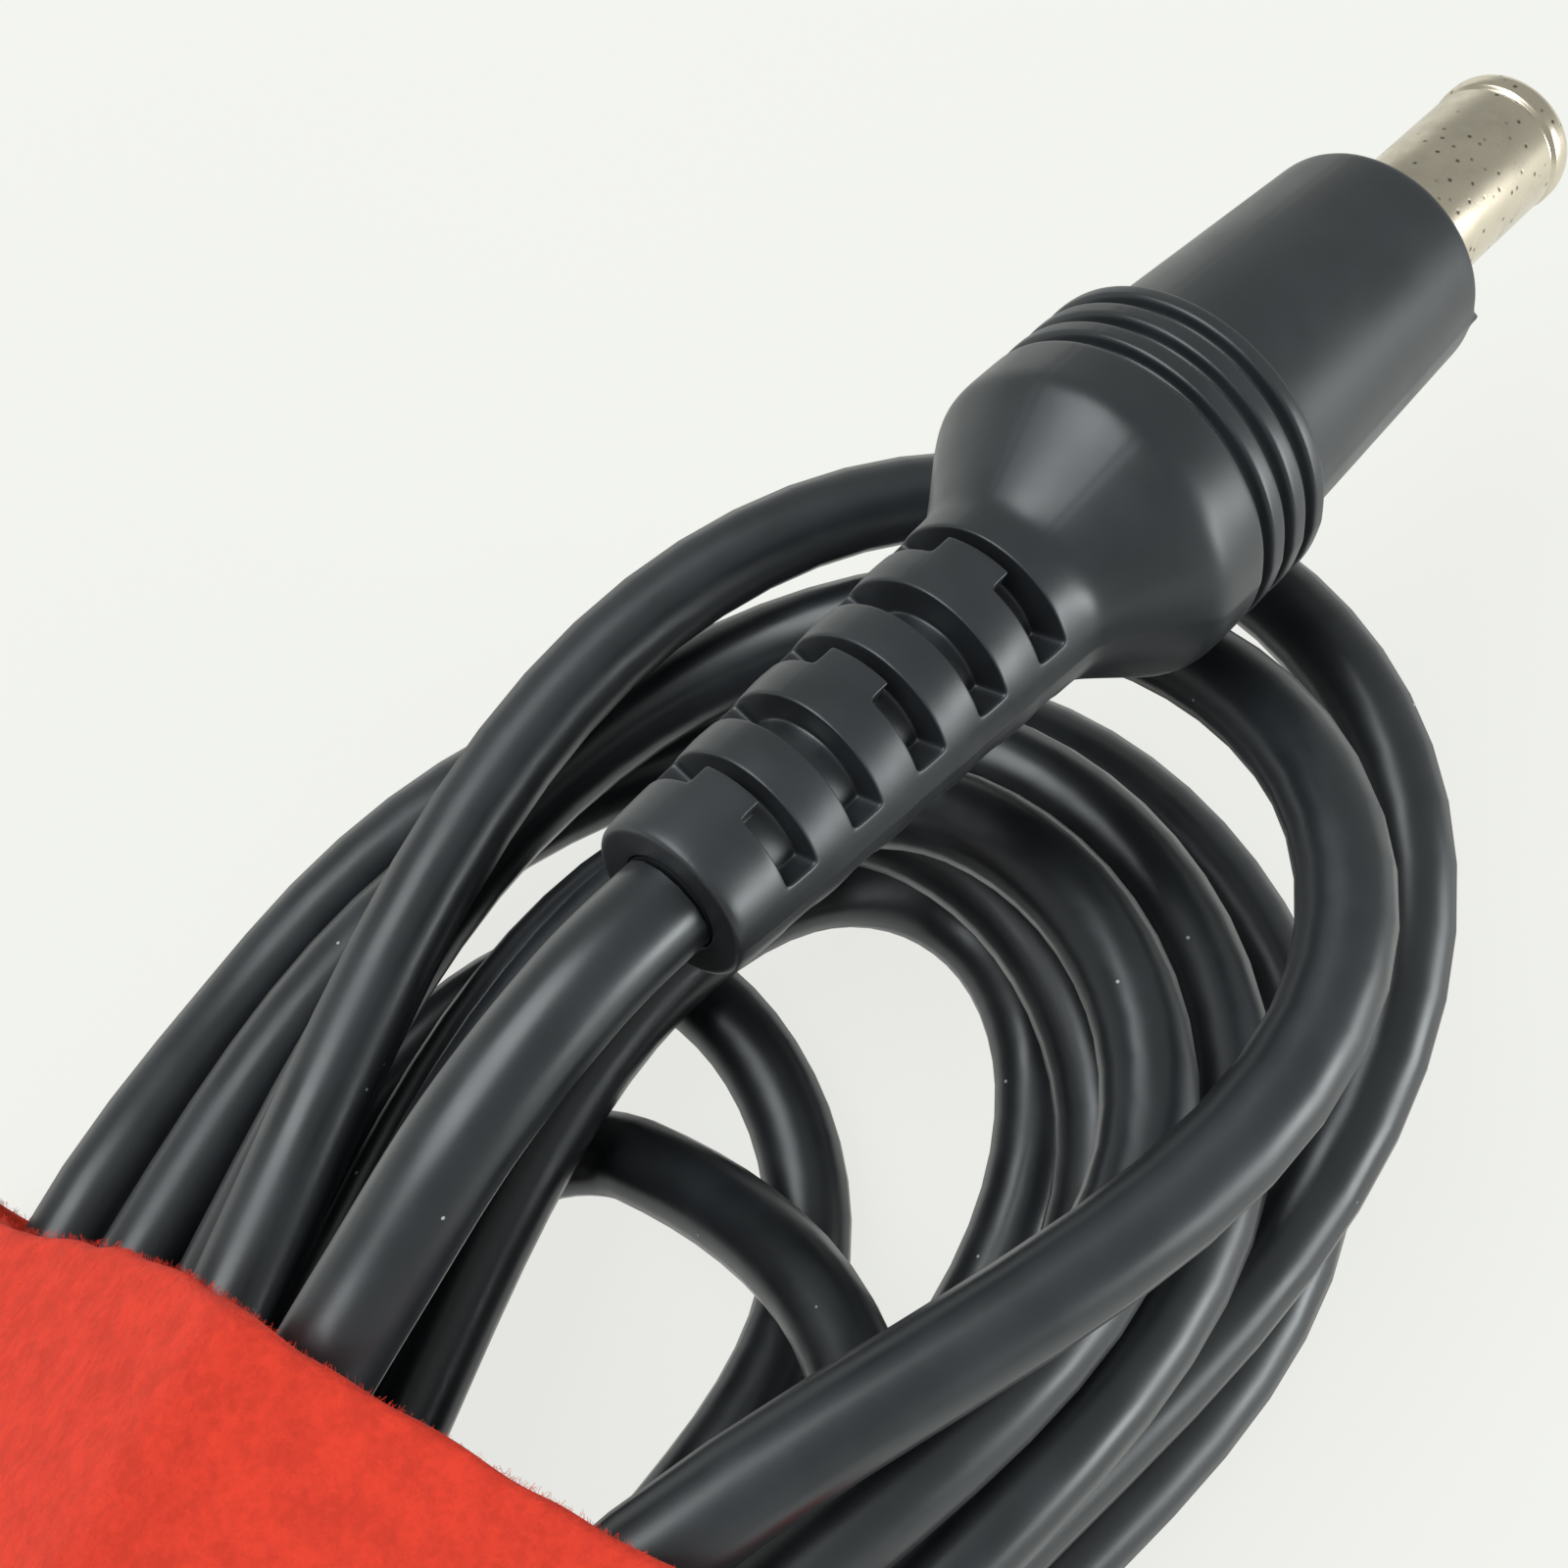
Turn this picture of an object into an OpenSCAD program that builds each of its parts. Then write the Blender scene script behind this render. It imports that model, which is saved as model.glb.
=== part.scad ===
// Barrel-plug power lead, wound in a hank and held by a hook-and-loop wrap.
// Origin: centre of the wrap's underside. +X along the hank to the plug, +Z up.

/* [Cord] */
// Outside diameter of the cord's jacket
cord_d = 3.4; // [3:0.1:3.6]
// Outside diameter of each insulated core
core_d = 1.3; // [1:0.1:1.4]
// Diameter of each stranded conductor
wire_d = 0.7; // [0.4:0.1:0.8]
// Distance between the centres of the two cores
core_pitch = 1.5; // [1.45:0.05:1.6]
// Length of core left bare of jacket at the far end
far_core_len = 5; // [4:0.5:7]
// Length of tinned wire at the far end
far_wire_len = 2.5; // [1:0.5:4]

/* [Barrel contact] */
// Outside diameter of the barrel
barrel_d = 5.5; // [5:0.1:5.8]
// Length of barrel that stands out of the moulding
barrel_len = 10; // [8:0.5:11]
// Wall of the barrel tube
barrel_wall = 0.45; // [0.3:0.05:0.5]
// How far the rolled bead stands above the barrel
bead_rise = 0.08; // [0.04:0.02:0.1]
// Length of the rolled bead at the mouth
bead_len = 1; // [0.6:0.1:1.4]
// Width of the groove behind the bead
bead_groove_w = 0.25; // [0.2:0.05:0.4]
// Depth of the groove behind the bead
bead_groove_h = 0.12; // [0.05:0.01:0.2]
// Length of barrel that the moulding holds
root_len = 4; // [3:0.5:5]
// How much the held length is turned down below the barrel
root_step = 0.2; // [0.16:0.01:0.22]
// Diameter of the collar that anchors the barrel
collar_d = 7.2; // [6.6:0.1:7.5]
// Thickness of that collar
collar_h = 1.2; // [0.8:0.1:1.6]
// Width of the barrel's solder lug
lug_w = 2; // [1.4:0.1:2.4]
// Thickness of the barrel's solder lug
lug_h = 0.4; // [0.3:0.05:0.5]
// Length of each solder joint
joint_len = 1.4; // [1:0.1:1.8]

/* [Centre contact] */
// Bore that takes the socket's pin
bore_d = 2.5; // [2.3:0.05:2.6]
// Wall of the centre tube
contact_wall = 0.5; // [0.3:0.05:0.55]
// Depth of the bore from its mouth
bore_depth = 10.5; // [9:0.5:11]
// How far the centre tube's mouth sits inside the barrel's
contact_recess = 0.6; // [0.4:0.1:1]
// How far the insulator's face sits inside the barrel's
insulator_recess = 0.3; // [0.2:0.05:0.35]
// Length of the solder post behind the centre tube
post_len = 3.2; // [2.6:0.2:3.6]
// Thickness of the washer behind the collar
washer_h = 0.8; // [0.6:0.1:1]

/* [Moulded plug] */
// Length of the nose ahead of the first grip groove
nose_len = 13.3; // [12.5:0.1:14]
// Diameter of the nose at its front face
nose_front_d = 9.3; // [8.8:0.1:9.8]
// Diameter of the nose where it meets the grip band
nose_back_d = 10.5; // [10:0.1:11]
// Rounding of the front edge
nose_edge_r = 0.4; // [0.2:0.1:0.8]
// Diameter of the grip band and shoulder
band_d = 12.2; // [11.8:0.1:12.6]
// How far the band runs ahead of the first groove
band_lead = 0.9; // [0.6:0.1:1.2]
// Distance between grip grooves
groove_pitch = 1.25; // [1:0.05:1.4]
// Width of a grip groove
groove_w = 0.45; // [0.3:0.05:0.6]
// Depth of a grip groove
groove_h = 0.5; // [0.3:0.05:0.6]
// Number of grip grooves
groove_n = 3; // [2:1:3]
// Length from the first groove back to the shoulder's corner
shoulder_len = 5.0; // [4.6:0.1:5.4]
// Rounding of the shoulder's corner
shoulder_r = 0.8; // [0.6:0.1:1.2]
// Length of the cone behind the shoulder
cone_len = 3.6; // [3:0.1:4]
// Diameter of the neck where the strain relief starts
neck_d = 7.3; // [6.9:0.1:7.7]
// Length of the strain relief
relief_len = 16.8; // [16.4:0.1:17.4]
// Diameter at the strain relief's end
relief_end_d = 5.9; // [5.5:0.1:6.2]
// Distance from the neck to the first flex slot
slot_start = 1.6; // [1.2:0.1:1.9]
// Distance between flex slots
slot_pitch = 2.93; // [2.7:0.01:3]
// Width of a flex slot
slot_w = 1.3; // [0.9:0.1:1.6]
// Gap ahead of the tongue that half fills every other slot
tongue_gap = 0.45; // [0.3:0.05:0.6]
// Number of flex slots
slot_n = 5; // [3:1:5]
// Wall left under a flex slot
slot_floor = 0.45; // [0.3:0.05:0.6]
// Half angle that a slot reaches from the mould's top
slot_reach = 72; // [60:1:76]
// Half angle of that tongue
tongue_half = 20; // [12:1:28]
// Diameter of the hard inner core
inner_d = 7.8; // [7.6:0.1:8.2]
// Length of the inner core behind the first groove
inner_back = 4.6; // [4.2:0.1:4.8]

/* [Wrap] */
// Width of the wrap along the hank
wrap_w = 20; // [16:0.5:20]
// Thickness of the wrap's fabric
wrap_h = 1.6; // [1.2:0.1:1.6]
// Slack between the wrap and the outer strands
wrap_slack = 0.15; // [0.1:0.05:0.4]
// Length of the free tab
tab_len = 9; // [6:0.5:10]
// Length of the tab's root lip
tab_lip = 1.2; // [0.8:0.1:1.5]
// Thickness of the hook patch on the tab
hook_h = 0.8; // [0.5:0.1:1]
// Rim of the tab left round the hook patch
hook_rim = 1; // [0.6:0.1:2]
// Gap between the tab and the wrap that it lies on
tab_gap = 0.15; // [0.1:0.05:0.3]

/* [Place] */
// Position of the first grip groove's centre
plug_at = [49.9, -8.45, 21.5];
// Angle of the plug across the hank
plug_heading = -14; // [-16:0.5:-12]
// Angle of the plug below level
plug_dip = 10.9; // [9:0.1:13]
// Turn of the mould's top about the plug's axis
plug_roll = 10; // [0:1:20]

/* [Hidden] */
fine = 96;
eps = 0.01;
clear = 1;

cord_r = cord_d / 2;
core_r = core_d / 2;
wire_r = wire_d / 2;
core_y = core_pitch / 2;

// Stations along the plug's axis, measured from the first grip groove
nose_t = nose_len;
mouth_t = nose_t + barrel_len;
collar_t = nose_t - root_len;
washer_t = collar_t - collar_h;
contact_back_t = washer_t - washer_h;
post_t = contact_back_t - post_len;
joint_cap = 0.4;
post_joint_t = post_t - joint_cap;
joint_gap = 0.05;
lug_t = post_joint_t - joint_len - 4 * joint_gap;
inner_back_t = -inner_back;
neck_t = -shoulder_len - cone_len;
relief_t = neck_t - relief_len;
core_end_t = lug_t - joint_cap;

barrel_r = barrel_d / 2;
barrel_in_r = barrel_r - barrel_wall;
root_r = barrel_r - root_step;
bead_root = 0.1;
contact_r = bore_d / 2 + contact_wall;
contact_mouth_t = mouth_t - contact_recess;
insulator_t = mouth_t - insulator_recess;
collar_r = collar_d / 2;
inner_r = inner_d / 2;
lug_inset = 0.3;
lug_y = collar_r - lug_h - lug_inset;
post_r = core_y - wire_r - joint_gap;
post_joint_r = core_y - joint_gap;
neck_blend = 1.2;
far_x = -12.5;

// Tail of the lead: points from the strain relief's end to the hank
tail_points = [[22, -1.5, 26.6], [17, -0.6, 25.8], [12, 0, 23.8], [8, 0.3, 22.7]];
hank_start = [cord_d, 0.5, 22.5];

// A turn has [reach, middle y, [start y, swell], [end y, swell], heights].
// Front turns run from the right-hand crossing round to the left-hand one.
front_turns = [
    [47.4, -7.5, [-8, 24.5], [8.1, 8.3], [20.2, 20, 18.5, 12.5, 8.6, 7.6, 7.8]],
    [53.3, -9.5, [-16.3, 18.4], [6.1, 11.2], [9.6, 8.5, 11.5, 10.8, 12.1, 11.6, 11.7]],
    [37.5, -7.5, [-11.5, 15], [2.2, 6], [16.2, 16.4, 15.2, 13.3, 12.6, 11.4, 11.4]],
    [42.8, -6, [-15.5, 15], [12.1, 6.8], [13.4, 13, 10.5, 7.3, 4, 4.6, 6]],
    [47, -8, [-17.8, 18], [15.8, 7.4], [5.3, 4, 2, 1.7, 1.7, 1.7, 3.5]],
    [30.5, 2, [-7.2, 8.5], [8.4, 4.2], [3.5, 1.7, 1.7, 1.7, 1.7, 1.7, 3.5]],
    [23, -1.2, [-9.5, 12.8], [3.4, 4.8], [11.2, 11.1, 8.4, 2.4, 1.7, 1.7, 3.5]],
    [38, -6, [-12.4, 13.5], [3.9, 6.5], [7.5, 6.3, 7.6, 8, 8.9, 7.4, 7.7]],
    [38, -7, [-11.1, 10], [-0.1, 6], [3.5, 2.2, 2.7, 2.1, 5.4, 6.4, 7.4]]];

// Back turns join the crossings: [reach, middle y, start swell, end swell,
// inner heights]. The first starts at the tail.
back_turns = [
    [40, -4, 12, 12, [22, 21.5, 21.3, 21, 20.3]],
    [50, -5, 14, 18, [9.6, 9.8, 9.8, 9.5, 9]],
    [42, -4, 16, 16, [15.5, 17.6, 17.6, 17, 16.4]],
    [47, -5, 12, 16, [12.8, 13.6, 13.6, 13.5, 13.3]],
    [50, -5, 12, 18, [1.7, 1.7, 1.7, 1.7, 3]],
    [44, -2, 13, 7, [6.2, 5.8, 4.5, 1.7, 1.7]],
    [38, -4, 8, 10, [1.7, 1.7, 4.5, 9.2, 11.2]],
    [32, -4, 6, 11, [1.7, 2, 5.2, 6, 6.6]],
    [26, -3, 5, 7, [7.5, 7.2, 6.6, 6.6, 2.8]]];

rings_per_half = 12;
hank_sides = 6;
tail_sides = 8;
min_self_gap = 0.4;

// Wrap: centres of the strands that it turns round, in its YZ section
bed_z = wrap_h + wrap_slack + cord_r;
wrap_pegs = [[17.6, bed_z], [17.8, 4.6], [0.9, 23.3], [-11.1, 20.3], [-17.6, 13.3],
    [-19.9, 4.8], [-19.7, bed_z]];
wrap_in_r = cord_r + wrap_slack;
tab_peg_a = 4;
tab_peg_b = 5;

// ---------------------------------------------------------------- functions

function unit(v) = v / norm(v);
function clamp(x, lo, hi) = min(max(x, lo), hi);
function path_len(p) = norm(p[0] - p[1]) + (len(p) > 2 ? path_len([for (i = [1:len(p) - 1]) p[i]]) : 0);
function curve(a, b, c, n) =
    [for (i = [0:n]) let (f = i / n) (1 - f) ^ 2 * a + 2 * f * (1 - f) * b + f ^ 2 * c];
function arc(c, r, a0, a1, n) =
    [for (i = [0:n]) let (a = a0 + (a1 - a0) * i / n) c + r * [cos(a), sin(a)]];

// Rises from 0 to 1 with level ends, so strands cross the wrap straight
function blunt(u) = u * u * (3 - 2 * u);

// Cardinal curve through a list of heights, for s from 0 to 1
function height(z, s) =
    let (n = len(z) - 1, i = min(floor(s * n), n - 1), f = s * n - i,
        a = z[max(i - 1, 0)], b = z[i], c = z[i + 1], d = z[min(i + 2, n)],
        m0 = (c - a) / 2, m1 = (d - b) / 2)
    (2 * f ^ 3 - 3 * f ^ 2 + 1) * b + (f ^ 3 - 2 * f ^ 2 + f) * m0
        + (3 * f ^ 2 - 2 * f ^ 3) * c + (f ^ 3 - f ^ 2) * m1;

// Lowest a strand's centre may lie: on the table, or on the wrap's floor
function bed(x) = cord_r + (bed_z - cord_r) * clamp((21 - abs(x)) / 8, 0, 1);

// One half turn; side is 1 in front of the wrap and -1 behind it
function half_turn(side, reach, mid, from, to, z) =
    [for (i = [0:rings_per_half - 1])
        let (s = i / rings_per_half, u = sin(180 * s), v = cos(180 * s),
            end = v > 0 ? from : to, turn = v > 0 ? -side : side,
            y = mid + abs(v) * (end[0] - mid + turn * end[1] * blunt(u)),
            x = side * reach * u)
        [x, y, max(height(z, s), bed(x))]];

function front_half(k) = let (t = front_turns[k])
    half_turn(1, t[0], t[1], t[2], t[3], t[4]);

function back_half(k) =
    let (t = back_turns[k], next = front_turns[k],
        from = k == 0 ? [hank_start[1], t[2]] : [front_turns[k - 1][3][0], t[2]],
        from_z = k == 0 ? hank_start[2] : front_turns[k - 1][4][6])
    half_turn(-1, t[0], t[1], from, [next[2][0], t[3]],
        concat([from_z], t[4], [next[4][0]]));

last_turn = front_turns[len(front_turns) - 1];
hank_end = [far_x, last_turn[3][0], last_turn[4][6]];
hank_path = concat([hank_start],
    [for (k = [0:len(front_turns) - 1]) each concat(back_half(k), front_half(k))],
    [[0, hank_end[1], hank_end[2]], [far_x / 2, hank_end[1], hank_end[2]], hank_end]);

// The plug's axis in the part's frame
plug_dir = [cos(plug_dip) * cos(plug_heading), cos(plug_dip) * sin(plug_heading),
    -sin(plug_dip)];
relief_end = plug_at + plug_dir * relief_t;
tail_path = concat([relief_end], tail_points, [hank_start]);

// Direction of a path at a point, with its ends square to what they meet
function path_dir(p, i, d0, d1) = i == 0 ? d0 : i == len(p) - 1 ? d1
    : unit(unit(p[i + 1] - p[i]) + unit(p[i] - p[i - 1]));

function ring(c, d, r, sides) =
    let (n = unit(cross(d, [0, 0, 1])), b = cross(n, d))
    [for (j = [0:sides - 1]) c + r * (n * cos(360 * j / sides) + b * sin(360 * j / sides))];

// Distance from point p to the segment from a to b
function seg_gap(p, a, b) =
    let (f = clamp((p - a) * (b - a) / ((b - a) * (b - a)), 0, 1))
    norm(p - a - f * (b - a));

// ---------------------------------------------------------------- shared shapes

module tube(path, d0, d1, r, sides) {
    n = len(path);
    points = [for (i = [0:n - 1]) each ring(path[i], path_dir(path, i, d0, d1), r, sides)];
    walls = [for (i = [0:n - 2]) for (j = [0:sides - 1])
        let (a = i * sides + j, b = i * sides + (j + 1) % sides)
        each [[a, b, b + sides], [a, b + sides, a + sides]]];
    caps = [for (j = [1:sides - 2])
        each [[0, j + 1, j], [(n - 1) * sides, (n - 1) * sides + j, (n - 1) * sides + j + 1]]];
    polyhedron(points, concat(walls, caps));
}

module place_plug() {
    translate(plug_at) rotate([0, 90 + plug_dip, plug_heading]) children();
}

// A rod along the plug's axis between two stations
module rod(r, t0, t1, y = 0) {
    translate([0, y, t0]) cylinder(r = r, h = t1 - t0, $fn = fine);
}

module washer(r_out, r_in, t0, t1) {
    difference() {
        rod(r_out, t0, t1);
        rod(r_in, t0 - eps, t1 + eps);
    }
}

// ---------------------------------------------------------------- contacts

// Outline of the bead, crowned from the groove to the mouth
function bead() =
    [for (a = [0:15:180])
        [barrel_r - bead_root + (bead_rise + bead_root) * sin(a),
            mouth_t - bead_len / 2 - cos(a) * bead_len / 2]];

module sleeve_outline() {
    groove_t = mouth_t - bead_len;
    polygon(concat([[barrel_in_r, washer_t], [collar_r, washer_t], [collar_r, collar_t],
        [root_r, collar_t], [root_r, nose_t], [barrel_r, nose_t],
        [barrel_r, groove_t - bead_groove_w],
        [barrel_r - bead_groove_h, groove_t - bead_groove_w / 2]],
        bead(), [[barrel_in_r, mouth_t]]));
}

module lug() {
    translate([-lug_w / 2, -lug_y - lug_h, lug_t]) cube([lug_w, lug_h, washer_t - lug_t + eps]);
}

module barrel_sleeve() {
    color("silver") place_plug() union() {
        rotate_extrude($fn = fine) sleeve_outline();
        lug();
    }
}

module tip_insulator() {
    color("#2b2b2d") place_plug() washer(barrel_in_r, contact_r, washer_t, insulator_t);
}

module centre_contact() {
    color("silver") place_plug() difference() {
        union() {
            rod(contact_r, contact_back_t, contact_mouth_t);
            rod(post_r, post_t, contact_back_t + eps);
        }
        rod(bore_d / 2, contact_mouth_t - bore_depth, contact_mouth_t + eps);
    }
}

module insulating_washer() {
    color("#d8d3c4") place_plug() difference() {
        washer(collar_r, contact_r, contact_back_t, washer_t);
        lug();
    }
}

module post_joint_space() {
    rod(post_joint_r, post_joint_t, post_t + joint_len);
    rod(post_joint_r, post_joint_t, post_t + joint_len, core_y);
}

module lug_joint_space() {
    translate([-lug_w / 2, -lug_y, lug_t]) cube([lug_w, lug_y - core_y, joint_len]);
}

module centre_solder_joint() {
    color("#b9bcc0") place_plug() difference() {
        post_joint_space();
        rod(post_r, post_t, post_t + joint_len + eps);
        positive_wire_run();
    }
}

module sleeve_solder_joint() {
    color("#b9bcc0") place_plug() difference() {
        lug_joint_space();
        negative_wire_run();
    }
}

// ---------------------------------------------------------------- wiring

module core_run(y) {
    rod(core_r, relief_t, core_end_t, y);
}

module positive_wire_run() {
    rod(wire_r, relief_t, post_t + joint_len - joint_cap, core_y);
}

module negative_wire_run() {
    rod(wire_r, relief_t, lug_t + joint_len - joint_cap, -core_y);
}

module lead_root() {
    color("#3d4043") place_plug() difference() {
        rod(cord_r, relief_t, inner_back_t);
        rod(core_r, relief_t - eps, inner_back_t + eps, core_y);
        rod(core_r, relief_t - eps, inner_back_t + eps, -core_y);
    }
}

module positive_core() {
    color("firebrick") place_plug() difference() {
        core_run(core_y);
        rod(wire_r, relief_t - eps, core_end_t + eps, core_y);
    }
}

module positive_conductor() {
    color("peru") place_plug() positive_wire_run();
}

module negative_core() {
    color("#222222") place_plug() difference() {
        core_run(-core_y);
        rod(wire_r, relief_t - eps, core_end_t + eps, -core_y);
    }
}

module negative_conductor() {
    color("peru") place_plug() negative_wire_run();
}

// ---------------------------------------------------------------- mouldings

module inner_core_mould() {
    color("#55585c") place_plug() difference() {
        rod(inner_r, inner_back_t, contact_back_t);
        rod(post_r, post_t, contact_back_t + eps);
        post_joint_space();
        lug_joint_space();
        lug();
        core_run(core_y);
        core_run(-core_y);
        positive_wire_run();
        negative_wire_run();
    }
}

// Outline of the moulding: radius across, station along the axis
module overmould_outline() {
    neck = [neck_d / 2, neck_t];
    end = [relief_end_d / 2, relief_t];
    corner = [band_d / 2, -shoulder_len];
    cone = unit(corner - neck);
    front = [nose_front_d / 2, nose_t];
    polygon(concat([[0, relief_t], end],
        curve(neck + neck_blend * unit(end - neck), neck, neck + neck_blend * cone, 5),
        curve(corner - shoulder_r * cone, corner, corner + [0, shoulder_r], 6),
        [[band_d / 2, band_lead], [nose_back_d / 2, band_lead]],
        arc(front - [nose_edge_r, nose_edge_r], nose_edge_r, 0, 90, 5),
        [[0, nose_t]]));
}

module grip_grooves() {
    for (k = [0:groove_n - 1])
        rotate_extrude($fn = fine)
            translate([band_d / 2 - groove_h, -k * groove_pitch - groove_w / 2])
                square([groove_h + clear, groove_w]);
}

// One window of a flex slot, between two angles from the mould's top
module window(t, w, a0, a1) {
    reach = neck_d;
    translate([0, 0, t]) linear_extrude(w) difference() {
        polygon(concat([[0, 0]], arc([0, 0], reach, a0, a1, 6)));
        circle(cord_r + slot_floor, $fn = fine);
    }
}

module flex_slots() {
    for (side = [0, 180]) rotate([0, 0, side + 180 - plug_roll])
        for (k = [0:slot_n - 1])
            let (t = neck_t - slot_start - slot_w - k * slot_pitch)
            if (k % 2 == 0) {
                window(t + slot_w - tongue_gap, tongue_gap, -slot_reach, slot_reach);
                window(t, slot_w, tongue_half, slot_reach);
                window(t, slot_w, -slot_reach, -tongue_half);
            } else {
                window(t, slot_w, -slot_reach, slot_reach);
            }
}

module plug_overmould() {
    color("#45484b") place_plug() difference() {
        rotate_extrude($fn = fine) overmould_outline();
        grip_grooves();
        flex_slots();
        rod(cord_r, relief_t - eps, inner_back_t + eps);
        rod(inner_r, inner_back_t, contact_back_t);
        rod(collar_r, contact_back_t - eps, collar_t);
        rod(root_r, collar_t - eps, nose_t + eps);
    }
}

// ---------------------------------------------------------------- the lead

module lead_tail() {
    color("#3d4043") tube(tail_path, -plug_dir, [-1, 0, 0], cord_r, tail_sides);
}

module lead_hank() {
    color("#3d4043") tube(hank_path, [-1, 0, 0], [-1, 0, 0], cord_r, hank_sides);
}

// Places a piece at the far end, running back from the hank
module place_far(y) {
    translate(hank_end + [0, y, 0]) rotate([0, -90, 0]) children();
}

module far_core(y) {
    place_far(y) difference() {
        cylinder(r = core_r, h = far_core_len, $fn = fine);
        translate([0, 0, -eps]) cylinder(r = wire_r, h = far_core_len + 2 * eps, $fn = fine);
    }
}

module far_wire(y) {
    place_far(y) cylinder(r = wire_r, h = far_core_len + far_wire_len, $fn = fine);
}

module positive_core_end() {
    color("firebrick") far_core(core_y);
}

module positive_wire_end() {
    color("silver") far_wire(core_y);
}

module negative_core_end() {
    color("#222222") far_core(-core_y);
}

module negative_wire_end() {
    color("silver") far_wire(-core_y);
}

// ---------------------------------------------------------------- the wrap

// Turns a YZ outline into a band along X
module along_hank(w) {
    translate([-w / 2, 0, 0]) rotate([90, 0, 90]) linear_extrude(w) children();
}

// Outline of a belt drawn round the pegs at a given radius
function belt_angle(i) = let (n = len(wrap_pegs),
    d = wrap_pegs[(i + 1) % n] - wrap_pegs[i % n]) atan2(-d[0], d[1]);
function belt(r) = let (n = len(wrap_pegs))
    [for (i = [0:n - 1])
        let (a0 = belt_angle(i + n - 1), a1 = belt_angle(i),
            turn = (a1 - a0 + 720) % 360)
        each arc(wrap_pegs[i], r, a0, a0 + turn, 8)];

module wrap_band() {
    color("#dd4636") along_hank(wrap_w) difference() {
        polygon(belt(wrap_in_r + wrap_h));
        polygon(belt(wrap_in_r));
    }
}

// Point on the flank where the tab lies: u down the flank, v out from it
flank_dir = unit(wrap_pegs[tab_peg_b] - wrap_pegs[tab_peg_a]);
flank_out = [flank_dir[1], -flank_dir[0]];
function flank(u, v) = wrap_pegs[tab_peg_a] + u * flank_dir
    + (wrap_in_r + wrap_h + v) * flank_out;

hook_v = tab_gap;
tab_v = hook_v + hook_h;
tab_out_v = tab_v + wrap_h;
tab_root_inset = 0.05;
tab_root_r = (hook_h + wrap_h) / 2 - tab_root_inset;
tab_hinge = flank(0, (hook_v + tab_out_v) / 2);

module wrap_tab() {
    color("#d24233") union() {
        along_hank(wrap_w)
            polygon([flank(0, hook_v), flank(tab_lip, hook_v), flank(tab_lip, tab_v),
                flank(tab_len, tab_v), flank(tab_len, tab_out_v), flank(0, tab_out_v)]);
        along_hank(wrap_w) translate(tab_hinge) circle(tab_root_r, $fn = fine);
    }
}

module hook_patch() {
    color("#b23a2e") along_hank(wrap_w - 2 * hook_rim)
        polygon([flank(tab_lip, hook_v), flank(tab_len - hook_rim, hook_v),
            flank(tab_len - hook_rim, tab_v), flank(tab_lip, tab_v)]);
}

// Least distance between strands that are not neighbours along the lead
module report_gap() {
    n = len(hank_path);
    skip = 3;
    samples = [for (i = [0:n - 2]) each [[i, hank_path[i]],
        [i + 0.5, (hank_path[i] + hank_path[i + 1]) / 2]]];
    gaps = [for (q = samples) for (j = [0:n - 2])
        if (abs(q[0] - j - 0.5) > skip) seg_gap(q[1], hank_path[j], hank_path[j + 1])];
    echo(least_gap_between_strands = min(gaps) - cord_d, wanted_over = min_self_gap);
    echo(lead_length = path_len(hank_path) + path_len(tail_path));
    echo(relief_end = relief_end, tip = plug_at + plug_dir * mouth_t,
        tab_hinge = tab_hinge);
}

barrel_sleeve();
tip_insulator();
centre_contact();
insulating_washer();
centre_solder_joint();
sleeve_solder_joint();
inner_core_mould();
plug_overmould();
lead_root();
positive_core();
positive_conductor();
negative_core();
negative_conductor();
lead_tail();
lead_hank();
positive_core_end();
positive_wire_end();
negative_core_end();
negative_wire_end();
wrap_band();
wrap_tab();
hook_patch();
report_gap();
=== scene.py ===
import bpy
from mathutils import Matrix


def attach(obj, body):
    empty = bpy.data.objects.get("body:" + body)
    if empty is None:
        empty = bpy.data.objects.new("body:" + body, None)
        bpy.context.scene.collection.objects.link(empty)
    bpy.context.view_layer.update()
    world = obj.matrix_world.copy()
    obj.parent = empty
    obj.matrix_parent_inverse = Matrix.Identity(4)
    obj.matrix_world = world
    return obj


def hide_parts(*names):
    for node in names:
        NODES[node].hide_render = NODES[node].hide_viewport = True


bl_info = {
    "name": "Wound Barrel-Plug Lead",
    "version": (1, 0, 0),
    "blender": (4, 5, 0),
    "location": "3D View > Sidebar > Lead",
    "description": "A thin power lead with a barrel plug, wound in a hank under a red wrap",
    "category": "Add Mesh",
}

import math
import random

import bmesh
import bpy
from bpy.props import FloatProperty, FloatVectorProperty, IntProperty, PointerProperty
from mathutils import Matrix, Vector, noise

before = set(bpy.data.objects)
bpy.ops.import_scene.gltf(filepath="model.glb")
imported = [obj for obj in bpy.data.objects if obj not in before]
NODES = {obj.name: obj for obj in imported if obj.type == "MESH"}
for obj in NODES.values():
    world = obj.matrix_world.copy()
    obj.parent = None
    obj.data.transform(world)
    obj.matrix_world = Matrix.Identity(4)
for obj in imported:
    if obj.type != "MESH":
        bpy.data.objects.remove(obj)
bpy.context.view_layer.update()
MM = 0.001

# ------------------------------------------------------------------ route of the lead

# The tail runs from the strain relief's end down to the hank, in millimetres.
TAIL_POINTS = [(22, -1.5, 26.6), (17, -0.6, 25.8), (12, 0, 23.8), (8, 0.3, 22.7)]
HANK_START = (3.4, 0.5, 22.5)

# The tail's curve heads for this point at the hank's start, and stops before it.
TAIL_AIM = (0, 0.65, 22.4)
TAIL_STEPS = 12

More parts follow.
